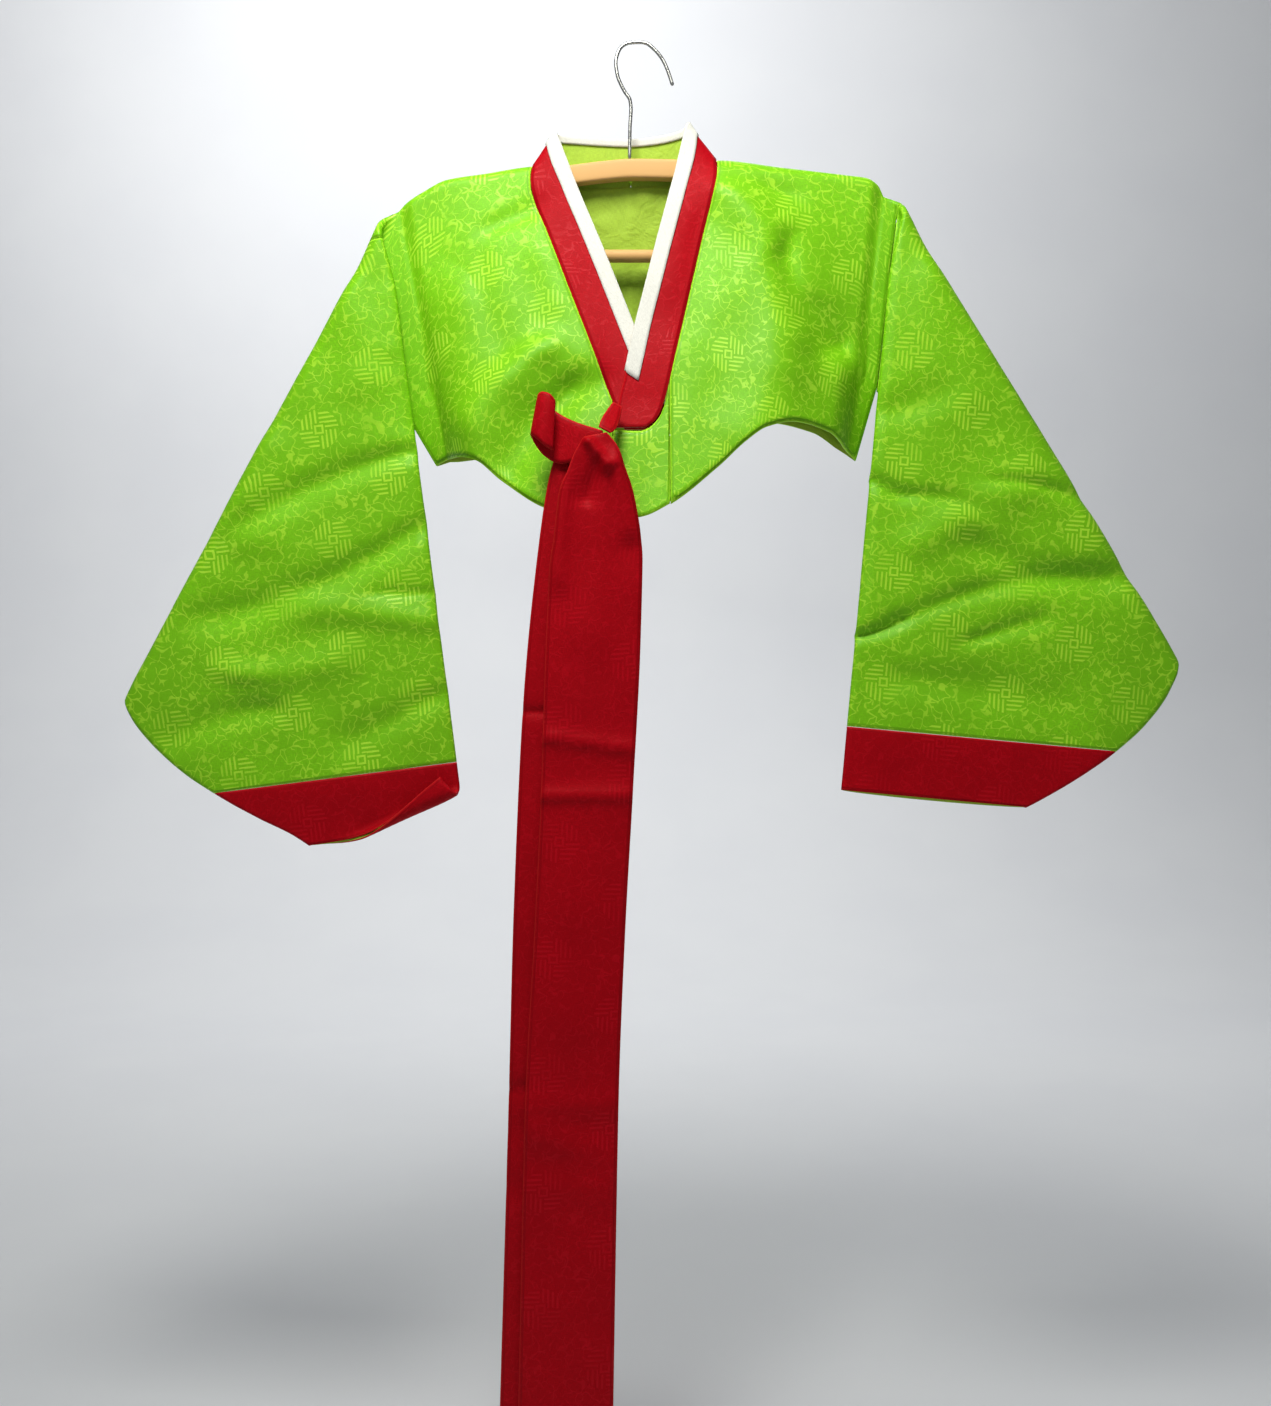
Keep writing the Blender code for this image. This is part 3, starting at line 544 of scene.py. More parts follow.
def front_edge(side):
    """x of the front panel's inner edge at a height: along the collar, then straight down."""
    table = COLLAR_OUTER[side]

    def at(z):
        collar = smooth(table, z)
        if side < 0:
            return np.where(z < -326, INNER_FRONT_EDGE, np.minimum(collar, INNER_FRONT_EDGE)) - SEAM
        return np.where(z < -304, OVERLAP_SEAM, collar) + SEAM

    return at


def back_edge(side):
    """x of the back's centre seam, the same at every height."""
    return lambda z: np.full_like(z, CENTRE_BACK + side * SEAM / 2)


def bodice_grid(side, rows, columns, past_columns):
    """The mid-surface of one half of the bodice, from front hem over the shoulder to back hem."""
    armpit_down, _, _ = side_geometry(side)
    past = PAST_SHOULDER[side]
    neck = 0.0
    parts = []
    for face in (-1, 1):
        down = np.asarray(rows, float)
        if face < 0:
            start = share_at(side, face, down, front_edge(side))
            start[0] = start[1]
            neck = start[0]
        else:
            centre = share_at(side, face, down, back_edge(side))
            reach = quarter(down * BODY_LENGTH / NECK_DEPTH) ** 2
            start = neck * (1 - reach) + centre * reach
        across = np.linspace(0, 1, columns)
        share = start[:, None] + (side - start[:, None]) * across
        grid = body_point(share, down[:, None], face)
        edge = grid[:, -1].copy()
        bow = np.abs(edge[:, 1]) - sleeve_half_gap(ARMHOLE * down / armpit_down, 2 * ARMHOLE)
        strips = []
        seam_top = arm_point(side, past, ARMHOLE, 0.0)
        for share_past in np.arange(1, past_columns + 1) / past_columns:
            v = np.minimum(ARMHOLE * down / armpit_down, ARMHOLE)
            n = sleeve_half_gap(v, ARMHOLE * 1.012)
            arm = arm_point(side, past * share_past, v, face * np.where(v > 0, np.maximum(n, SIDE_GAP), 0))
            arm[:, 1] += face * np.maximum(bow, 0) * (1 - share_past)
            low = np.clip((down - armpit_down) / (1 - armpit_down), 0, 1)[:, None]
            tip = np.array([SIDE_TIP[side][0], 0, SIDE_TIP[side][1]])
            seam = seam_top + (tip - seam_top) * low + np.array([0, face * SIDE_GAP, 0])
            below = edge + (seam - edge) * share_past
            strips.append(np.where(down[:, None] <= armpit_down + 1e-6, arm, below))
        parts.append(np.concatenate([grid] + [s[:, None] for s in strips], axis=1))
    front, back = parts
    return np.concatenate([front[::-1], back[1:]])


def grid_normals(grid):
    """Unit normals of a grid of points."""
    down = np.gradient(grid, axis=0)
    across = np.gradient(grid, axis=1)
    return unit(np.cross(down, across))


def depth_at(x, z):
    """How far forward the front stands at a place, on the layer of its own side."""
    share = np.asarray(x, float) / 200
    down = np.full_like(share, 0.5)
    for _ in range(12):
        point = body_point(share, down, -1)
        top = body_point(share, 0 * down, -1)[..., 2]
        hem = body_point(share, 0 * down + 1, -1)[..., 2]
        down = np.clip((z - top) / (hem - top), 0.0, 1)
        reach = np.where(np.abs(share) > 1e-3, point[..., 0] / np.where(share == 0, 1, share), 200)
        share = np.clip(x / reach, -1, 1)
    point = body_point(share, down, -1)
    below = body_point(share, 0 * down, -1)[..., 2] - z
    return -point[..., 1] - np.where(share >= 0, outer_shift(below, np.abs(share)), 0)


def read_between(rows, place):
    """Read the rows of a table or grid at places between them, each column along its own smooth curve."""
    count = np.arange(len(rows), dtype=float)
    columns = rows.reshape(len(rows), -1).T
    read = [smooth(np.stack([count, column], 1), place) for column in columns]
    return np.stack(read, 1).reshape(-1, *rows.shape[1:])


def refine(rows):
    """Put a smooth row between each two rows of a grid."""
    return read_between(rows, np.arange(0, len(rows) - 0.75, 0.5))


def front_collar_row(side, z, across, raised):
    """One row of the collar in front, laid on the front panel at a height."""
    seam = float(smooth(COLLAR_OUTER[side], z))
    neck = float(smooth(COLLAR_NECK[side], z))
    x = seam + (neck - seam) * across
    height = np.full_like(x, z)
    return np.stack([x, -depth_at(x, height) - raised, height], 1)


def collar_grid(columns):
    """The collar from its hidden left end, round the back of the neck, to its right end.

    Across, the first column is the seam edge and the last one the neck edge.
    """
    across = np.linspace(0, 1, columns)
    rows = []
    for z in (-346, -325, -300, -270, -240, -205, -170, -140, -122):
        rows.append(front_collar_row(-1, z, across, SEAM))
    for low_x, low_y, low_z, high_x, high_y, high_z in COLLAR_BACK:
        low = np.array([low_x, low_y, low_z])
        high = np.array([high_x, high_y, high_z])
        rows.append(low + (high - low) * across[:, None])
    for z in (-116, -136, -165, -195, -225, -255, -285, -305, -320, -332, -340, -345):
        rows.append(front_collar_row(1, z, across, OUTER_SHIFT + SEAM))
    return refine(np.array(rows))


def ribbon_grid(table, rows, columns):
    """A band between two edges given row by row, smoothed along its length."""
    read = read_between(table, np.linspace(0, len(table) - 1, rows))
    first_x, first_z, last_x, last_z, forward = read.T
    first = np.stack([first_x, -forward, first_z], -1)
    last = np.stack([last_x, -forward, last_z], -1)
    across = np.linspace(0, 1, columns)[:, None]
    return first[:, None] + (last - first)[:, None] * across


def folds(x, z, table):
    """Soft folds: each row adds its height times exp(-(distance from its bent line / width) to its power).

    A fold fades in over its first 15% and out over its last 15%, and its line bows by its bend.
    """
    x, z = np.broadcast_arrays(np.asarray(x, float), np.asarray(z, float))
    total = np.zeros(x.shape)
    for x0, z0, x1, z1, width, height, bend, power in table:
        length = math.hypot(x1 - x0, z1 - z0)
        along = ((x - x0) * (x1 - x0) + (z - z0) * (z1 - z0)) / length**2
        across = ((x - x0) * (z1 - z0) - (z - z0) * (x1 - x0)) / length
        inside = np.clip(along, 0, 1)
        across = across - bend * 4 * inside * (1 - inside)
        spread = width * (0.75 + 0.5 * inside)
        fade = ease((along + 0.15) / 0.3) * ease((1.15 - along) / 0.3)
        total += height * fade * np.exp(-((np.abs(across) / spread) ** power))
    return total * bpy.context.scene.jacket_sizes.fold_depth


def ripple(x, z, seed, size, height):
    """Gentle unevenness: the mean of twelve sine waves of about one size, in directions drawn from a seed."""
    draw = np.random.default_rng(seed)
    angle = draw.uniform(0, math.pi, 12)
    step = size * draw.uniform(0.7, 1.5, 12)
    start = draw.uniform(0, 2 * math.pi, 12)
    x, z = np.broadcast_arrays(np.asarray(x, float), np.asarray(z, float))
    phase = (x[..., None] * np.cos(angle) + z[..., None] * np.sin(angle)) * 2 * math.pi / step + start
    return height * np.sin(phase).sum(-1) / math.sqrt(12)


def relief_of(x, z, table, seeds, ripples):
    """Soft folds from a table, with a coarse and a fine unevenness over them."""
    total = folds(x, z, table)
    for seed, (size, height) in zip(seeds, ripples):
        total = total + ripple(x, z, seed, size, height)
    return total


def below_shoulder(x, z):
    """0 where the cloth lies on the hanger, rising to 1 a little below the shoulder line."""
    return ease((smooth(SHOULDER, x) - z - FOLDS_START) / FOLDS_FADE)


def front_relief(x, z):
    """How far the folds carry the front toward the viewer; no trough where the hanger's ends lie behind."""
    relief = relief_of(x, z, FRONT_FOLDS, FRONT_SEEDS, BODY_RIPPLES)
    block = BLOCK_BEHIND
    over_block = ease((np.abs(x) - block["x"]) / block["fade_x"]) * ease((z - block["z"]) / block["fade_z"])
    relief = relief + over_block * (np.maximum(relief, 0) - relief)
    return relief * below_shoulder(x, z)


def back_relief(x, z):
    """How far the folds carry the back away from the viewer."""
    return relief_of(x, z, BACK_FOLDS, BACK_SEEDS, BODY_RIPPLES) * below_shoulder(x, z)


def sleeve_relief(side, x, z):
    """How far the folds carry a sleeve toward the viewer."""
    return relief_of(x, z, SLEEVE_FOLDS[side], SLEEVE_SEEDS[side], SLEEVE_RIPPLES)


def running_length(grid, axis):
    """How far each point of a grid lies from the grid's first row (axis 0) or first column (axis 1)."""
    step = np.linalg.norm(np.diff(grid, axis=axis), axis=-1)
    start = np.zeros_like(np.take(step, [0], axis))
    return np.concatenate([start, np.cumsum(step, axis)], axis=axis)


def edge_distance(grid, closed):
    """Distance of each point of a grid from the nearest edge, measured along rows and columns."""
    down = running_length(grid, 0)
    near = np.minimum(down, down[-1] - down)
    if closed:
        return near
    across = running_length(grid, 1)
    return np.minimum(near, np.minimum(across, across[:, -1:] - across))


def looks_back(grid, row, column):
    """Whether the faces of a grid look away from the viewer at one of its points."""
    return grid_normals(grid)[row, column, 1] < 0


def add_piece(name, mesh, materials):
    """Put a smooth mesh into the scene as a piece with its materials."""
    mesh.shade_smooth()
    for each in materials:
        mesh.materials.append(each)
    piece = bpy.data.objects.new(name, mesh)
    bpy.context.scene.collection.objects.link(piece)
    return piece


def cloth_piece(name, grid, cloth, materials, wall, closed=False, turned=False):
    """One sheet of cloth from a grid of points, with its flat-cloth UVs in metres and its wall.

    cloth holds the flat cloth's two coordinates for each point, with one more column where the grid
    closes on itself. turned says that its faces are to be turned round. The first material is the
    outside, the second the inside.
    """
    rows, columns = grid.shape[:2]
    index = np.arange(rows * columns).reshape(rows, columns)
    if closed:
        index = np.concatenate([index, index[:, :1]], axis=1)
    read = np.arange(cloth.shape[0] * cloth.shape[1]).reshape(cloth.shape[:2])
    corners = [(slice(None, -1), slice(None, -1)), (slice(None, -1), slice(1, None)),
               (slice(1, None), slice(1, None)), (slice(1, None), slice(None, -1))]
    quads = np.stack([index[c] for c in corners], -1).reshape(-1, 4)
    loops = np.stack([read[c] for c in corners], -1).reshape(-1, 4)
    if turned:
        quads = quads[:, ::-1]
        loops = loops[:, ::-1]
    mesh = bpy.data.meshes.new(name)
    mesh.from_pydata((grid.reshape(-1, 3) * MM).tolist(), [], quads.tolist())
    layer = mesh.uv_layers.new(name="cloth")
    layer.data.foreach_set("uv", (cloth.reshape(-1, 2)[loops.reshape(-1)] * MM).astype(np.float32).ravel())
    border = mesh.attributes.new("border", "FLOAT", "POINT")
    border.data.foreach_set("value", edge_distance(grid, closed).astype(np.float32).ravel())
    piece = add_piece(name, mesh, materials)
    solidify = piece.modifiers.new("Wall", "SOLIDIFY")
    solidify.thickness = wall * MM
    solidify.offset = 0
    solidify.use_even_offset = False
    solidify.material_offset = len(materials) - 1
    return piece


def solid_piece(name, rings, material):
    """A closed smooth solid through rings of points, with both ends closed by a fan round their middle."""
    count, around = rings.shape[:2]
    index = np.arange(count * around).reshape(count, around)
    index = np.concatenate([index, index[:, :1]], axis=1)
    quads = [index[:-1, :-1], index[1:, :-1], index[1:, 1:], index[:-1, 1:]]
    faces = np.stack(quads, -1).reshape(-1, 4).tolist()
    first, last = count * around, count * around + 1
    faces += [[first, a, b] for a, b in zip(index[0, :-1].tolist(), index[0, 1:].tolist())]
    faces += [[last, b, a] for a, b in zip(index[-1, :-1].tolist(), index[-1, 1:].tolist())]
    points = np.concatenate([rings.reshape(-1, 3), rings[0].mean(0)[None], rings[-1].mean(0)[None]]) * MM
    corners = points[np.array([f[:3] for f in faces])]
    if np.einsum("ij,ij->i", corners[:, 0], np.cross(corners[:, 1], corners[:, 2])).sum() < 0:
        faces = [f[::-1] for f in faces]
    mesh = bpy.data.meshes.new(name)
    mesh.from_pydata(points.tolist(), [], faces)
    piece = add_piece(name, mesh, [material])
    mesh.set_sharp_from_angle(angle=math.radians(50))
    return piece


class Nodes:
    """Short ways to add a material's nodes and links."""

    def __init__(self, name):
        self.material = bpy.data.materials.new(name)
        self.material.use_nodes = True
        self.tree = self.material.node_tree
        self.shader = self.tree.nodes["Principled BSDF"]

    def put(self, socket, value):
        """Set a socket to a number or colour, or link it to another socket."""
        if isinstance(value, bpy.types.NodeSocket):
            self.tree.links.new(value, socket)
        else:
            socket.default_value = value

    def node(self, kind, inputs=(), **settings):
        """Add a node with its settings, and its inputs by name or place."""
        new = self.tree.nodes.new(kind)
        for key, value in settings.items():
            setattr(new, key, value)
        for key, value in dict(inputs).items():
            self.put(new.inputs[key], value)
        return new

    def math(self, operation, a, b=0.0, c=0.0):
        """One step of arithmetic."""
        return self.node("ShaderNodeMath", {0: a, 1: b, 2: c}, operation=operation).outputs[0]

    def times(self, a, b):
        """The product of two values."""
        return self.math("MULTIPLY", a, b)

    def apart(self, a, b):
        """How far two values are apart."""
        return self.math("ABSOLUTE", self.math("SUBTRACT", a, b))

    def between(self, value, low, high):
        """0 below low, 1 above high and a smooth step between them."""
        new = self.node("ShaderNodeMapRange", {"Value": value, "From Min": low, "From Max": high})
        new.interpolation_type = "SMOOTHSTEP"
        return new.outputs[0]

    def mix(self, factor, a, b):
        """A colour between two colours."""
        new = self.node("ShaderNodeMix", data_type="RGBA")
        self.put(new.inputs[0], factor)
        self.put(new.inputs[6], a)
        self.put(new.inputs[7], b)
        return new.outputs[2]

    def tone(self, factor, colour, low, high):
        """One colour between two of its tones, each given as a factor of it."""
        return self.mix(factor, opaque(colour, low), opaque(colour, high))

    def noise(self, vector, scale, detail=2.0, roughness=0.5, distortion=0.0):
        """Smooth noise."""
        inputs = {"Vector": vector, "Scale": scale, "Detail": detail, "Roughness": roughness,
                  "Distortion": distortion}
        return self.node("ShaderNodeTexNoise", inputs).outputs["Fac"]

    def vector(self, operation, a, b):
        """One step of arithmetic with vectors."""
        return self.node("ShaderNodeVectorMath", {0: a, 1: b}, operation=operation).outputs[0]

    def stretched(self, vector, scale):
        """A vector scaled along each axis."""
        return self.vector("MULTIPLY", vector, scale)

    def threads(self, place, warp, weft):
        """Crossing threads: two noises, each drawn out along its own direction."""
        lengthwise = self.noise(self.stretched(place, warp), 1.0, 1.0)
        crosswise = self.noise(self.stretched(place, weft), 1.0, 1.0)
        return self.math("ADD", lengthwise, crosswise)

    def finish(self, colour, roughness, height, depth, distance=0.001):
        """Link colour, roughness and bump to the shader."""
        self.put(self.shader.inputs["Base Color"], colour)
        self.put(self.shader.inputs["Roughness"], roughness)
        bump = self.node("ShaderNodeBump", {"Height": height, "Strength": depth, "Distance": distance})
        self.put(self.shader.inputs["Normal"], bump.outputs[0])
        return self.material


def opaque(colour, factor=1.0):
    """A colour property as a full colour, made lighter or darker by a factor."""
    return tuple(min(c * factor, 1.0) for c in colour) + (1.0,)


def fret_roundel(nodes, across, down):
    """The figured weave's roundel: parallel bars inside a circle, on a half-drop repeat.

    Each repeat holds one roundel, and every second column of them stands half a repeat lower. The bars run
    across in two opposite quarters and up and down in the other two, round a small square.
    """
    sizes = bpy.context.scene.jacket_sizes
    step_across = sizes.repeat_across * 1000.0 / 2
    step_down = sizes.repeat_down * 1000.0
    column = nodes.math("FLOOR", nodes.math("DIVIDE", across, step_across))
    odd = nodes.math("FLOORED_MODULO", column, 2.0)
    dropped = nodes.math("MULTIPLY_ADD", odd, step_down / 2, down)
    x = nodes.math("SUBTRACT", nodes.math("FLOORED_MODULO", across, step_across), step_across / 2)
    y = nodes.math("SUBTRACT", nodes.math("FLOORED_MODULO", dropped, step_down), step_down / 2)
    same = nodes.math("GREATER_THAN", nodes.times(x, y), 0.0)
    x = nodes.math("ABSOLUTE", x)
    y = nodes.math("ABSOLUTE", y)
    radius = nodes.math("SQRT", nodes.math("MULTIPLY_ADD", x, x, nodes.times(y, y)))

    def bars_along(value, beside):
        """Parallel bars at even steps of one value, kept off the line where the other is small."""
        step = nodes.math("FLOORED_MODULO", nodes.math("SUBTRACT", value, FIRST_BAR), BAR_PITCH)
        bar = nodes.math("LESS_THAN", step, BAR_WIDTH)
        return nodes.times(bar, nodes.math("GREATER_THAN", beside, BAR_GAP))

    level = nodes.times(bars_along(y, x), same)
    upright = nodes.times(bars_along(x, y), nodes.math("SUBTRACT", 1.0, same))
    from_middle = nodes.math("MAXIMUM", x, y)
    outer = nodes.math("GREATER_THAN", from_middle, BARS_FROM)
    bars = nodes.times(nodes.math("MAXIMUM", upright, level), outer)
    square = nodes.math("LESS_THAN", nodes.apart(from_middle, SQUARE_HALF_SIDE), SQUARE_HALF_LINE)
    bars = nodes.math("MAXIMUM", bars, square)
    return nodes.times(bars, nodes.math("LESS_THAN", radius, ROUNDEL_RADIUS)), radius


def cloud_scroll(nodes, cloth, radius):
    """Thin curling outlines between the roundels: cell borders pulled about by noise, and broken up."""
    noise = nodes.node("ShaderNodeTexNoise", {"Vector": cloth, "Scale": SCROLL_PULL_SCALE, "Detail": 0.0})
    pull = nodes.vector("SUBTRACT", noise.outputs["Color"], (0.5, 0.5, 0.5))
    bent = nodes.vector("ADD", cloth, nodes.stretched(pull, (SCROLL_PULL, SCROLL_PULL, 0.0)))
    cells = nodes.node(
        "ShaderNodeTexVoronoi", {"Vector": bent, "Scale": SCROLL_CELLS}, feature="DISTANCE_TO_EDGE")
    line = nodes.math("SUBTRACT", 1.0, nodes.between(cells.outputs["Distance"], *SCROLL_LINE))
    broken = nodes.between(nodes.noise(cloth, 170.0, 0.0), *SCROLL_BREAKS)
    away = nodes.between(radius, ROUNDEL_RADIUS, SCROLL_FROM)
    return nodes.times(nodes.times(line, broken), away)


def cloth_material(name, colour, figure, edge, strength, sheen, sheen_tint, shine, gloss):
    """Figured cloth: ground weave with cross threads, roundels and cloud outlines that catch the light; edge
    is the colour of a painted highlight along its turned edges.
    """
    nodes = Nodes(name)
    place = nodes.node("ShaderNodeTexCoord").outputs["UV"]
    cloth = nodes.node("ShaderNodeSeparateXYZ", {0: nodes.stretched(place, (1000, 1000, 1000))})
    across, down = cloth.outputs[0], cloth.outputs[1]
    roundel, radius = fret_roundel(nodes, across, down)
    scroll = cloud_scroll(nodes, place, radius)
    worn = nodes.math("MULTIPLY_ADD", nodes.between(nodes.noise(place, 34.0, 3.0), 0.3, 0.6), 0.5, 0.5)
    figured = nodes.math("MAXIMUM", roundel, nodes.times(scroll, SCROLL_SHARE))
    drawn = nodes.times(figured, worn)
    threads = nodes.threads(place, (2300, 260, 1), (240, 2100, 1))
    cloudy = nodes.between(nodes.noise(place, 9.0, 3.0), 0.3, 0.7)
    ground = nodes.tone(cloudy, colour, 0.88, 1.1)
    ground = nodes.mix(nodes.between(threads, 0.75, 1.3), opaque(colour, 0.8), ground)
    lit = nodes.mix(nodes.times(drawn, strength), ground, opaque(figure))
    border = nodes.node("ShaderNodeAttribute", attribute_name="border").outputs["Fac"]
    stitched = nodes.between(nodes.apart(border, STITCHES_AT), *STITCH_LINE)
    lit = nodes.mix(stitched, opaque(colour, 0.72), lit)
    # Painted highlight: a lighter colour laid along the cloth's turned edges, fading out about a millimetre
    # from the border
    lit = nodes.mix(nodes.between(border, *EDGE_HIGHLIGHT), opaque(edge), lit)
    roughness = nodes.math("MULTIPLY_ADD", drawn, -0.16, shine)
    pucker = nodes.times(nodes.between(border, 0.0, EDGE_PUCKER), 0.8)
    height = nodes.math("MULTIPLY_ADD", drawn, 0.16, nodes.math("MULTIPLY_ADD", threads, 0.16, pucker))
    nodes.shader.inputs["Sheen Weight"].default_value = sheen
    nodes.shader.inputs["Sheen Roughness"].default_value = 0.35
    nodes.shader.inputs["Sheen Tint"].default_value = opaque(sheen_tint)
    nodes.shader.inputs["Specular IOR Level"].default_value = gloss
    return nodes.finish(lit, roughness, height, 0.55)


def plain_material(name, colour, crumple, shine=0.7):
    """Plain-woven cloth, for the lining and the white strip: fine cross threads, small creases and painted
    shade in them.
    """
    nodes = Nodes(name)
    place = nodes.node("ShaderNodeTexCoord").outputs["UV"]
    threads = nodes.threads(place, (2600, 300, 1), (300, 2600, 1))
    ridge = nodes.between(nodes.apart(nodes.noise(place, 26.0, 3.0, 0.55, 0.8), 0.5), 0.0, 0.07)
    tone = nodes.tone(nodes.between(threads, 0.7, 1.3), colour, 0.86, 1.06)
    # Painted shade: the colour darkens along the lines of the small creases, where their bump dips
    crease_shade = nodes.times(nodes.math("SUBTRACT", 1.0, ridge), 0.35 * crumple)
    tone = nodes.mix(crease_shade, tone, opaque(colour, 0.75))
    height = nodes.math("MULTIPLY_ADD", ridge, crumple, nodes.times(threads, 0.2))
    nodes.shader.inputs["Sheen Weight"].default_value = 0.1
    nodes.shader.inputs["Specular IOR Level"].default_value = 0.3
    return nodes.finish(tone, nodes.math("MULTIPLY_ADD", threads, 0.06, shine - 0.06), height, 0.5)


def wood_material(name, colour):
    """Varnished beech: long wavy grain along the hanger, short dark flecks and small scuffs."""
    nodes = Nodes(name)
    place = nodes.node("ShaderNodeTexCoord").outputs["Object"]
    grain = nodes.noise(nodes.stretched(place, (5, 90, 90)), 1.0, 4.0, 0.6, 0.6)
    rings = nodes.apart(nodes.math("FRACT", nodes.times(grain, 9.0)), 0.5)
    flecks = nodes.between(nodes.noise(nodes.stretched(place, (60, 900, 900)), 1.0, 1.0), 0.64, 0.72)
    tone = nodes.tone(nodes.between(rings, 0.05, 0.45), colour, 0.66, 1.06)
    tone = nodes.mix(nodes.times(flecks, 0.45), tone, opaque(colour, 0.5))
    scuff = nodes.between(nodes.noise(place, 240.0, 4.0), 0.45, 0.7)
    nodes.shader.inputs["Coat Weight"].default_value = 0.35
    nodes.shader.inputs["Coat Roughness"].default_value = 0.22
    return nodes.finish(tone, nodes.math("MULTIPLY_ADD", scuff, 0.16, 0.36), grain, 0.12)


def wire_material(name, colour):
    """Bright drawn steel wire: fine lines along it, dulled in patches."""
    nodes = Nodes(name)
    place = nodes.node("ShaderNodeTexCoord").outputs["Object"]
    lines = nodes.noise(nodes.stretched(place, (2600, 2600, 60)), 1.0, 2.0)
    dull = nodes.between(nodes.noise(place, 160.0, 3.0), 0.4, 0.7)
    nodes.shader.inputs["Metallic"].default_value = 1.0
    tone = nodes.tone(dull, colour, 1.1, 0.7)
    return nodes.finish(tone, nodes.math("MULTIPLY_ADD", dull, 0.22, 0.22), lines, 0.1)


def floor_material(name):
    """Pale matt studio paper with a faint mottle."""
    nodes = Nodes(name)
    place = nodes.node("ShaderNodeTexCoord").outputs["Object"]
    mottle = nodes.noise(place, 3.0, 5.0)
    grain = nodes.noise(place, 260.0, 3.0)
    tone = nodes.mix(nodes.between(mottle, 0.3, 0.7), (0.72, 0.73, 0.75, 1), (0.74, 0.75, 0.765, 1))
    return nodes.finish(tone, nodes.math("MULTIPLY_ADD", grain, 0.1, 0.8), grain, 0.1)


def material(key):
    """The named material, made the first time it is asked for."""
    found = bpy.data.materials.get(key)
    if found:
        return found
    colours = bpy.context.scene.jacket_colours
    if key == "green cloth":
        return cloth_material(key, colours.green, colours.green_figure, colours.green_edge_highlight, *CLOTH_LOOK[key])
    if key == "red cloth":
        return cloth_material(key, colours.red, colours.red_figure, colours.red_edge_highlight, *CLOTH_LOOK[key])
    if key == "lining cloth":
        return plain_material(key, colours.lining, CRUMPLE[key])
    if key == "white cloth":
        return plain_material(key, colours.white, CRUMPLE[key])
    if key == "wood":
        return wood_material(key, colours.wood)
    if key == "wire":
        return wire_material(key, colours.wire)
    return floor_material(key)


def lined(key):
    """The outside and the inside of a lined piece."""
    return [material(key), material("lining cloth")]


def dress(piece, slot, *nodes):
    """Give a piece its body and hide the CAD nodes that it stands for; slot, the name of its finish, is not
    used.
    """
    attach(piece, "root")
    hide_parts(*nodes)
    return piece


def flat_of(grid):
    """Flat-cloth coordinates of a grid that hangs from the shoulder: across it and down it."""
    return running_length(grid, 1), running_length(grid, 0)


def along_band(across, down):
    """Flat-cloth coordinates of a narrow band, which is as long all over as along its first column."""
    return np.stack([across, down[:, :1] + 0 * across], -1)


def make_bodice():
    """Both halves of the bodice, from the front hem over the shoulder to the back hem."""
    for side, name, past_columns in ((-1, "right", 14), (1, "left", 8)):
        armpit_down, _, _ = side_geometry(side)
        to_armpit = np.linspace(NEXT_ROW, armpit_down, 64)
        to_hem = np.linspace(armpit_down, 1, 12)[1:]
        rows = np.concatenate([SHOULDER_ROWS, to_armpit, to_hem])
        grid = bodice_grid(side, rows, BODICE_COLUMNS, past_columns)
        count = len(rows)
        x, z = grid[..., 0], grid[..., 2]
        fading = 1 - ease(np.linspace(0, 1, BODICE_COLUMNS - FULL_FOLD_COLUMNS))
        reach = np.concatenate([np.ones(FULL_FOLD_COLUMNS), fading, np.zeros(past_columns)])
        relief = np.where(np.arange(len(grid))[:, None] < count, -front_relief(x, z), back_relief(x, z))
        across, down = flat_of(grid)
        cloth = np.stack([x[:, :1] + side * across, -(down - down[count - 1])], -1)
        grid[..., 1] += relief * reach
        piece = cloth_piece(
            "jacket_bodice_" + name, grid, cloth, lined("green cloth"), WALL, turned=looks_back(grid, 20, 40))
        dress(piece, "green_cloth", "bodice_" + name)


def sleeve_grid(side, stations, count, mouth=1.0, longer=0.0):
    """The middle of a sleeve's cloth as rings round the flat tube, and its flat-cloth coordinates.

    mouth is the share of the layers' distance that is left at the last ring, and longer is how far the
    layer underneath hangs past the one on top there.
    """
    rings = []
    cloth = []
    for u in stations:
        width = float(smooth(SLEEVE_WIDTH, u))
        v = layer_steps(side, u, width, count)
        last = (u - stations[0]) / (stations[-1] - stations[0])
        n = sleeve_half_gap(v, width) * (1 + (mouth - 1) * ease(last))
        ring = np.concatenate([np.stack([v[::-1], -n[::-1]], 1), np.stack([v[1:-1], n[1:-1]], 1)])
        under = np.sin(math.pi * np.clip(ring[:, 0] / width, 0, 1)) ** 0.5 * (ring[:, 1] < 0)
        rings.append(arm_point(side, u + longer * last**4 * under, ring[:, 0], ring[:, 1]))
        round_it = np.concatenate([-v[::-1], v[1:-1], v[-1:]])
        cloth.append(np.stack([round_it, np.full_like(round_it, u)], 1))
    grid = np.array(rings)
    start = PAST_SHOULDER[side] + ARMHOLE_SEAM
    fade = ease((np.asarray(stations) - start) / 30)[:, None]
    grid[..., 1] -= sleeve_relief(side, grid[..., 0], grid[..., 2]) * fade
    return grid, np.array(cloth)


def make_sleeves():
    """The two sleeves, turned over toward the viewer along their slanting folds."""
    for side, word in SIDES:
        start = PAST_SHOULDER[side] + ARMHOLE_SEAM
        end = PAST_SHOULDER[side] + SLEEVE_LENGTH
        near = start + np.array([0, 1.5, 3, 5, 8])
        stations = np.concatenate([near, np.linspace(start + 12, end - 4, 124), [end - 2, end]])
        grid, cloth = sleeve_grid(side, stations, SLEEVE_COLUMNS)
        piece = cloth_piece(
            "jacket_sleeve_" + word, grid, cloth, lined("green cloth"), WALL,
            closed=True, turned=looks_back(grid, 60, 120))
        dress(piece, "green_cloth", "sleeve_" + word)


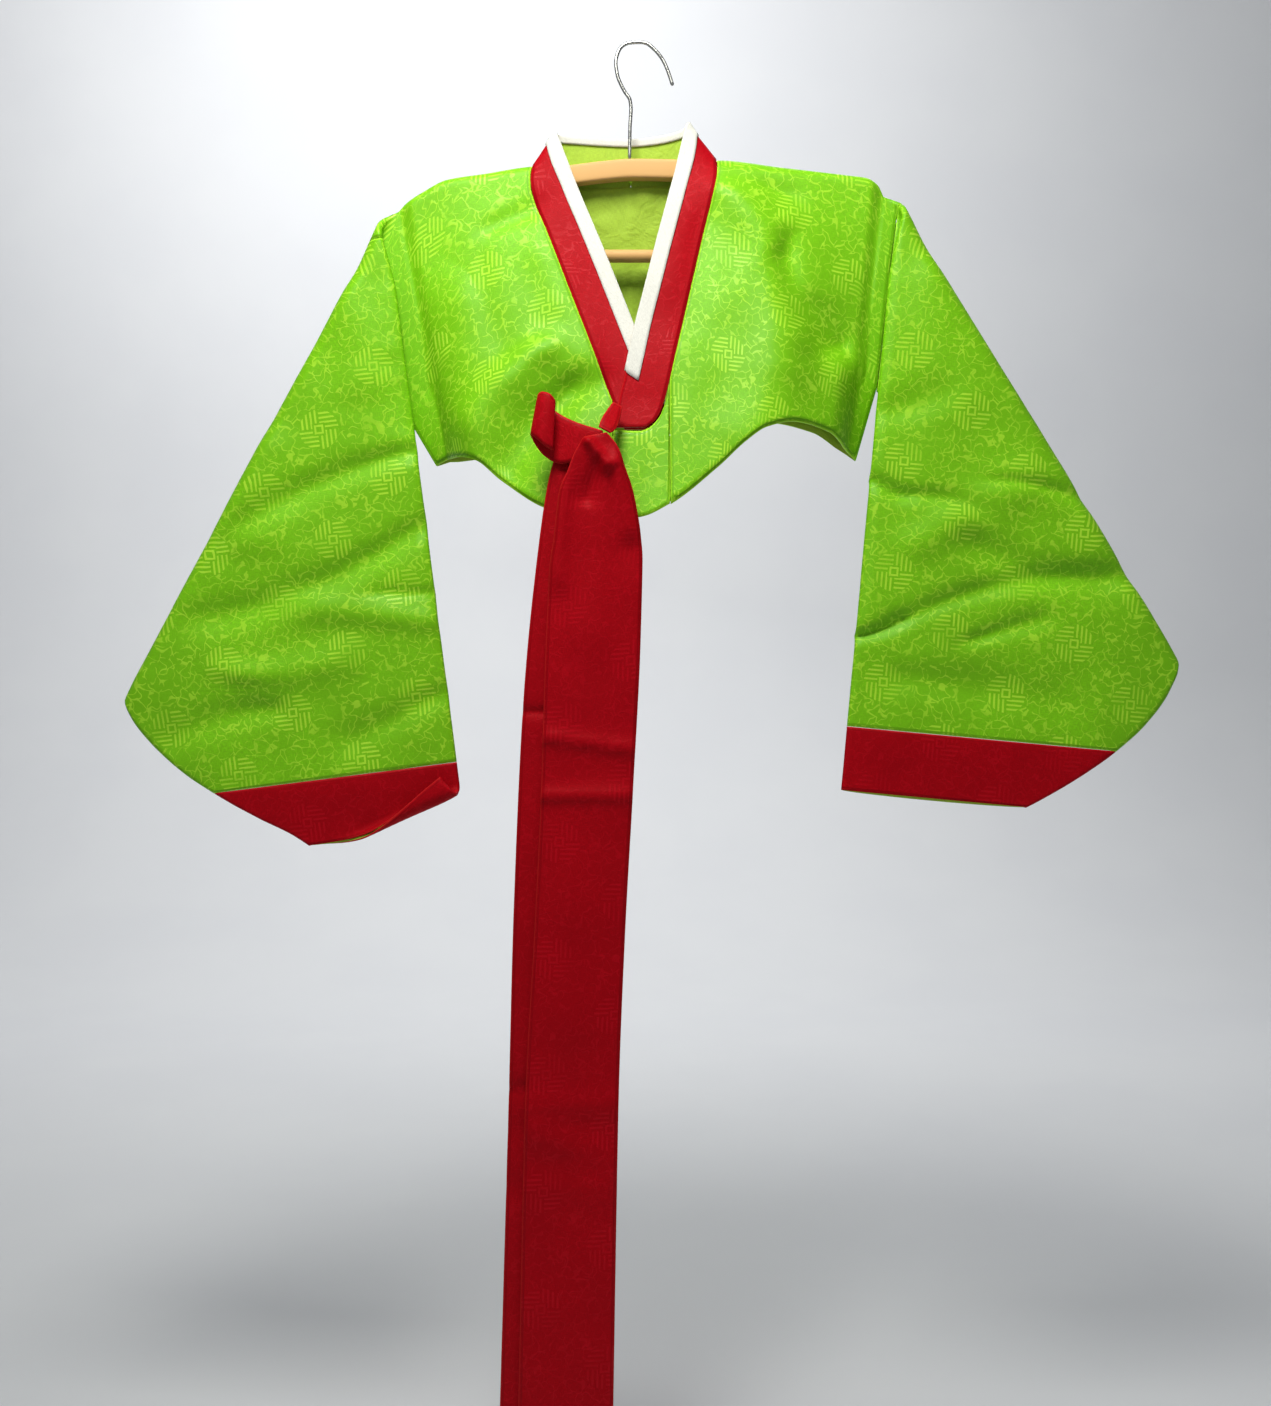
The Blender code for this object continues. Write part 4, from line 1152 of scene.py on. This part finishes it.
def make_cuffs():
    """The red cuffs; the left one's corner is turned up once more and opens to its lining."""
    for side, word in SIDES:
        start = PAST_SHOULDER[side] + SLEEVE_LENGTH + SEAM
        stations = np.linspace(start, PAST_SHOULDER[side] + CUFF_LENGTH + SLEEVE_LENGTH, 30)
        grid, cloth = sleeve_grid(side, stations, SLEEVE_COLUMNS, *CUFF_MOUTH[side])
        turned = looks_back(grid, 15, 120)
        if side < 0:
            grid = turn_corner(grid)
        piece = cloth_piece(
            "jacket_cuff_" + word, grid, cloth, lined("red cloth"), WALL, closed=True, turned=turned)
        dress(piece, "red_cloth", "cuff_" + word)


def collar_rows():
    """The collar's middle grid with the front's folds, from its hidden end round the neck to the right."""
    grid = refine(collar_grid(13))
    in_front = ease((-90 - grid[..., 2]) / 30) * (grid[..., 1] < 0)
    grid[..., 1] -= front_relief(grid[..., 0], grid[..., 2]) * in_front
    return grid


def strip_rows(grid):
    """The white strip's middle grid: it lies along the collar's neck edge and wraps over it at the back.

    Across, it runs over the collar's outside, round the edge and down the inside. Its ends are cut slanting.
    """
    normal = grid_normals(grid)
    outside = -np.sign(normal[0, 0, 1]) * normal[:, -1]
    neck = grid[:, -1]
    to_edge = unit(grid[:, -1] - grid[:, -4])
    lift = COLLAR_WALL / 2 + SEAM + STRIP_WALL / 2
    at_back = ease((neck[:, 1] + 14) / 12)
    wrap = 0.6 + 5.4 * at_back
    profile = np.array([-1, -0.8, -0.6, -0.4, -0.2, -0.06, 0.0])
    columns = [neck + to_edge * STRIP_WIDTH * s + outside * lift for s in profile]
    for turn in np.linspace(0, math.pi, 7)[1:]:
        round_edge = 0.5 + at_back[:, None] * 0.5
        columns.append(neck + to_edge * 0.9 * math.sin(turn) + outside * lift * (
            (1 - round_edge) + round_edge * math.cos(turn)))
    for share in (0.35, 0.7, 1.0):
        columns.append(columns[12] - to_edge * (wrap * share)[:, None] * at_back[:, None])
    whole = np.stack(columns, 1)
    slant = np.clip((np.arange(whole.shape[1]) - 3) / 3, -1, 1)
    first, last = STRIP_ROWS["first"], len(whole) - STRIP_ROWS["from_end"]
    place = first + np.linspace(0, 1, last - first)[:, None] * (last - first - STRIP_ROWS["slant"] * slant)
    low = np.clip(np.floor(place).astype(int), 0, len(whole) - 2)
    rest = (place - low)[..., None]
    column = np.arange(whole.shape[1])[None, :]
    return whole[low, column] * (1 - rest) + whole[low + 1, column] * rest


def make_collar():
    """The red collar band with the white strip on its neck edge."""
    grid = collar_rows()
    across, down = flat_of(grid)
    piece = cloth_piece(
        "jacket_collar", grid, along_band(across - 23, down + 40), lined("red cloth"), COLLAR_WALL,
        turned=looks_back(grid, 2, 6))
    dress(piece, "red_cloth", "collar")
    strip = strip_rows(grid)
    piece = cloth_piece(
        "jacket_collar_strip", strip, along_band(*flat_of(strip)), [material("white cloth")], STRIP_WALL,
        turned=looks_back(strip, 20, 3))
    dress(piece, "white_cloth", "collar_strip")


def front_panel(x, top, short, lift):
    """A panel's grid on the front, from its top edge to a little short of the hem, lifted off the front."""
    z = top + (smooth(FRONT_HEM, x) + short - top) * np.linspace(0, 1, 34)[:, None]
    x = np.broadcast_to(x, z.shape)
    depth = depth_at(x, z) + lift + front_relief(x, z)
    return np.stack([x, -depth, z], -1)


def make_overlaps():
    """The front overlap panels: the outer one shows, and the inner one lies behind it."""
    outer_x = np.linspace(INNER_FRONT_EDGE + 1, OVERLAP_SEAM - SEAM, 30)
    inner_x = np.linspace(INNER_FRONT_EDGE + SEAM, INNER_PANEL["right"], 30)
    panels = (
        ("outer", front_panel(outer_x, smooth(COLLAR_END, outer_x), 1.0, OUTER_SHIFT)),
        ("inner", front_panel(inner_x, INNER_PANEL["top"], 3.0, 0.0)),
    )
    for name, grid in panels:
        cloth = np.stack([grid[..., 0] + 31, grid[..., 2] + 12], -1)
        piece = cloth_piece(
            "jacket_overlap_" + name, grid, cloth, lined("green cloth"), WALL,
            turned=looks_back(grid, 10, 10))
        dress(piece, "green_cloth", "overlap_" + name)


def make_ribbons():
    """The two tie ribbons in the stretches that show: two tails, the loop turned back, and the stub."""
    stretches = (
        # name, edges, rows, columns, creases, unevenness
        ("front_tail", FRONT_TAIL, 300, 26, TAIL_FOLDS["front"], 0.35),
        ("rear_tail", REAR_TAIL, 280, 24, TAIL_FOLDS["rear"], 0.2),
        ("loop", LOOP, 90, 18, None, 0.25),
        ("stub", STUB, 30, 14, None, 0.15),
    )
    for order, (name, table, rows, columns, creases, uneven) in enumerate(stretches):
        grid = ribbon_grid(table, rows, columns)
        across, down = flat_of(grid)
        x, z = grid[..., 0], grid[..., 2]
        relief = ripple(x, z, RIBBON_SEED + order, 60, uneven)
        if creases is not None:
            relief = relief + folds(x, z, creases)
        middle = np.linspace(-1, 1, columns)[None, :]
        relief = relief + RIBBON_CROWN * (1 - middle**4)
        grid[..., 1] -= relief * ease((np.arange(rows)[:, None] + 1) / 8)
        piece = cloth_piece(
            "jacket_ribbon_" + name, grid, along_band(across + 10 + 37 * order, down + 25 * order),
            [material("red cloth")], RIBBON_WALL, turned=looks_back(grid, 4, 4))
        dress(piece, "red_cloth", "ribbon_" + name)


def make_lining():
    """The lining of the back, just inside it, with small creases that stand toward the front."""
    down = np.linspace(0.075, 0.97, 70)[:, None]
    share = np.linspace(-0.84, 0.84, 90)[None, :]
    grid = body_point(share, down, 1)
    x, z = grid[..., 0], grid[..., 2]
    cloth = np.stack([x, z], -1)
    reach = 1 - ease((np.abs(share) - 0.7) / 0.28)
    grid[..., 1] += back_relief(x, z) * reach - (WALL + STRIP_WALL) / 2 - SEAM
    grid[..., 1] -= np.abs(ripple(x, z, LINING_SEED, *LINING_RIPPLE))
    from_seam = x - (CENTRE_BACK + LINING_SEAM["aside"])
    grid[..., 1] -= LINING_SEAM["height"] * np.exp(-((from_seam / LINING_SEAM["width"]) ** 2))
    piece = cloth_piece("jacket_back_lining", grid, cloth, [material("lining cloth")], STRIP_WALL,
                        turned=looks_back(grid, 20, 20))
    dress(piece, "lining_cloth", "back_lining")


def round_turn(count):
    """The angles of points once round a ring."""
    return np.linspace(0, 2 * math.pi, count + 1)[:-1]


def make_hanger():
    """The yoke with rounded edges and drooping ends, the bar between them and the wire hook."""
    end = HANGER_REACH
    block = end - HANGER_BLOCK
    corner = np.array([block - 3, block - 1.5, block - 0.5, end - 2, end - 0.6, end])
    x = np.concatenate([-corner[::-1], np.linspace(-165, 165, 67), corner])
    x.sort()
    top = smooth(YOKE_TOP, x)
    low = np.where(np.abs(x) > block - 1, BAR_Z - BAR_RADIUS - 1.5, top - YOKE_HEIGHT)
    turn = round_turn(32)
    wide = np.sign(np.cos(turn)) * np.abs(np.cos(turn)) ** YOKE_SQUARENESS
    tall = np.sign(np.sin(turn)) * np.abs(np.sin(turn)) ** YOKE_SQUARENESS
    shrink = np.where(np.abs(x) > end - 1.5, 0.86, 1.0)[:, None]
    rings = spread(
        x[:, None], HANGER_HALF_DEPTH * wide[None] * shrink,
        (top + low)[:, None] / 2 + (top - low)[:, None] / 2 * tall[None] * shrink)
    dress(solid_piece("jacket_yoke", rings, material("wood")), "wood", "hanger_yoke")
    reach = block - 3 - SEAM
    turn = round_turn(24)
    rings = spread(
        np.linspace(-reach, reach, 41)[:, None], BAR_RADIUS * np.cos(turn), BAR_Z + BAR_RADIUS * np.sin(turn))
    dress(solid_piece("jacket_bar", rings, material("wood")), "wood", "hanger_bar")
    x, z = read_between(HOOK, np.linspace(0, len(HOOK) - 1, 160)).T
    path = np.stack([x, 0 * x, z], -1)
    along = unit(np.gradient(path, axis=0))
    beside = np.stack([-along[:, 2], 0 * x, along[:, 0]], -1)
    turn = round_turn(16)
    radius = np.full(160, WIRE / 2)
    radius[[0, -1]] *= 0.6
    ring = beside[:, None] * np.cos(turn)[:, None] + np.array([0, 1, 0]) * np.sin(turn)[:, None]
    rings = path[:, None] + ring * radius[:, None, None]
    dress(solid_piece("jacket_hook", rings, material("wire")), "steel_wire", "hanger_hook")


def make_stage():
    """A pale floor that sweeps up into a wall far behind, soft studio lights and the camera."""
    scene = bpy.context.scene
    bend = np.linspace(0, math.pi / 2, 24)
    behind, radius = PAPER["behind"], PAPER["radius"]
    profile = np.concatenate([
        [(PAPER["front"], 0.0), (behind, 0.0)],
        np.stack([behind + radius * np.sin(bend), radius * (1 - np.cos(bend))], 1)[1:],
        [(behind + radius, PAPER["top"])],
    ])
    across = np.array([-PAPER["side"], PAPER["side"]])
    grid = spread(across[:, None], profile[:, 0], profile[:, 1] + FLOOR_Z)
    count = len(profile)
    index = np.arange(2 * count).reshape(2, count)
    quads = np.stack([index[0, :-1], index[1, :-1], index[1, 1:], index[0, 1:]], -1)
    mesh = bpy.data.meshes.new("studio_paper")
    mesh.from_pydata(grid.reshape(-1, 3).tolist(), [], quads.tolist())
    paper = add_piece("studio_paper", mesh, [material("paper")])
    for name, place, aim, size, power, colour in LIGHTS:
        data = bpy.data.lights.new(name, "AREA")
        data.size = size
        data.energy = power
        data.color = colour
        lamp = bpy.data.objects.new(name, data)
        lamp.location = place
        lamp.rotation_euler = (Vector(aim) - Vector(place)).to_track_quat("-Z", "Y").to_euler()
        lamp.visible_camera = False
        scene.collection.objects.link(lamp)
    world = scene.world or bpy.data.worlds.new("World")
    scene.world = world
    world.use_nodes = True
    sky = world.node_tree.nodes["Background"]
    sky.inputs["Color"].default_value = (0.86, 0.9, 0.94, 1)
    sky.inputs["Strength"].default_value = 0.2
    scene.view_settings.view_transform = "Standard"
    data = bpy.data.cameras.new("camera")
    data.sensor_width = SENSOR_WIDTH
    data.lens = FOCAL_PIXELS / max(IMAGE_SIZE) * SENSOR_WIDTH
    data.clip_end = 50.0
    camera = bpy.data.objects.new("camera", data)
    camera.location = EYE
    camera.rotation_euler = (math.pi / 2, 0, 0)
    scene.collection.objects.link(camera)
    scene.camera = camera


class JacketSizes(bpy.types.PropertyGroup):
    """Sizes that a user of the jacket would change."""

    fold_depth: bpy.props.FloatProperty(
        name="Fold depth", description="How deep the soft folds are, as a multiple of their tables' heights",
        default=1.5, min=0.0, max=3.0, subtype="FACTOR")
    repeat_across: bpy.props.FloatProperty(
        name="Repeat across", description="Width of the figured weave's repeat, which holds two columns",
        default=0.106, unit="LENGTH")
    repeat_down: bpy.props.FloatProperty(
        name="Repeat down", description="Height of the figured weave's repeat", default=0.095, unit="LENGTH")


def colour_property(name, description, default):
    """A colour that a user can change."""
    return bpy.props.FloatVectorProperty(
        name=name, description=description, subtype="COLOR", size=3, min=0.0, max=1.0, default=default)


class JacketColours(bpy.types.PropertyGroup):
    """Colours of the cloths, the wood and the wire."""

    green: colour_property("Green", "Ground of the green cloth", (0.21, 0.6, 0.004))
    green_figure: colour_property("Green figure", "Figure of the green cloth", (0.6, 0.95, 0.06))
    # Painted highlight along the green cloth's turned edges, lighter than its ground
    green_edge_highlight: colour_property("Green edge", "Turned edges of the green cloth", (0.42, 0.85, 0.03))
    red: colour_property("Red", "Ground of the red cloth", (0.44, 0.0007, 0.006))
    red_figure: colour_property("Red figure", "Figure of the red cloth", (0.75, 0.01, 0.025))
    # Painted highlight along the red cloth's turned edges, a little lighter than its ground
    red_edge_highlight: colour_property("Red edge", "Turned edges of the red cloth", (0.5, 0.012, 0.012))
    white: colour_property("White", "The collar's white strip", (0.74, 0.73, 0.66))
    lining: colour_property("Lining", "The yellow-green lining", (0.4, 0.6, 0.045))
    wood: colour_property("Wood", "The hanger's varnished wood", (0.68, 0.38, 0.13))
    wire: colour_property("Wire", "The hanger's steel hook", (0.5, 0.5, 0.47))


class JACKET_OT_bodice(bpy.types.Operator):
    """Make the two halves of the bodice"""

    bl_idname = "jacket.bodice"
    bl_label = "Bodice"

    def execute(self, context):
        make_bodice()
        return {"FINISHED"}


class JACKET_OT_overlaps(bpy.types.Operator):
    """Make the outer and the inner overlap panel"""

    bl_idname = "jacket.overlaps"
    bl_label = "Overlap panels"

    def execute(self, context):
        make_overlaps()
        return {"FINISHED"}


class JACKET_OT_sleeves(bpy.types.Operator):
    """Make the two sleeves, turned over toward the front"""

    bl_idname = "jacket.sleeves"
    bl_label = "Sleeves"

    def execute(self, context):
        make_sleeves()
        return {"FINISHED"}


class JACKET_OT_cuffs(bpy.types.Operator):
    """Make the two red cuffs"""

    bl_idname = "jacket.cuffs"
    bl_label = "Cuffs"

    def execute(self, context):
        make_cuffs()
        return {"FINISHED"}


class JACKET_OT_collar(bpy.types.Operator):
    """Make the collar and its white strip"""

    bl_idname = "jacket.collar"
    bl_label = "Collar"

    def execute(self, context):
        make_collar()
        return {"FINISHED"}


class JACKET_OT_ribbons(bpy.types.Operator):
    """Make the tied ribbons"""

    bl_idname = "jacket.ribbons"
    bl_label = "Ribbons"

    def execute(self, context):
        make_ribbons()
        return {"FINISHED"}


class JACKET_OT_lining(bpy.types.Operator):
    """Make the lining of the back"""

    bl_idname = "jacket.lining"
    bl_label = "Back lining"

    def execute(self, context):
        make_lining()
        return {"FINISHED"}


class JACKET_OT_hanger(bpy.types.Operator):
    """Make the hanger's yoke, bar and hook"""

    bl_idname = "jacket.hanger"
    bl_label = "Hanger"

    def execute(self, context):
        make_hanger()
        return {"FINISHED"}


class JACKET_OT_stage(bpy.types.Operator):
    """Make the floor, the lights and the camera"""

    bl_idname = "jacket.stage"
    bl_label = "Stage"

    def execute(self, context):
        make_stage()
        return {"FINISHED"}


STEPS = ("hanger", "bodice", "overlaps", "sleeves", "cuffs", "collar", "ribbons", "lining", "stage")


class JACKET_PT_panel(bpy.types.Panel):
    """The jacket's pieces and their settings"""

    bl_idname = "JACKET_PT_panel"
    bl_label = "Hanbok jacket"
    bl_space_type = "VIEW_3D"
    bl_region_type = "UI"
    bl_category = "Jacket"

    def draw(self, context):
        column = self.layout.column()
        for group in (context.scene.jacket_sizes, context.scene.jacket_colours):
            for key in type(group).__annotations__:
                column.prop(group, key)
        for step in STEPS:
            column.operator("jacket." + step)


CLASSES = (
    JacketSizes, JacketColours, JACKET_OT_bodice, JACKET_OT_overlaps, JACKET_OT_sleeves, JACKET_OT_cuffs,
    JACKET_OT_collar, JACKET_OT_ribbons, JACKET_OT_lining, JACKET_OT_hanger, JACKET_OT_stage, JACKET_PT_panel,
)


def register():
    """Add the classes and the scene's settings."""
    for cls in CLASSES:
        bpy.utils.register_class(cls)
    bpy.types.Scene.jacket_sizes = bpy.props.PointerProperty(type=JacketSizes)
    bpy.types.Scene.jacket_colours = bpy.props.PointerProperty(type=JacketColours)


def unregister():
    """Take the scene's settings and the classes away."""
    del bpy.types.Scene.jacket_colours
    del bpy.types.Scene.jacket_sizes
    for cls in reversed(CLASSES):
        bpy.utils.unregister_class(cls)


def main():
    """Make every piece in order."""
    register()
    for step in STEPS:
        getattr(bpy.ops.jacket, step)()


if __name__ == "__main__":
    main()
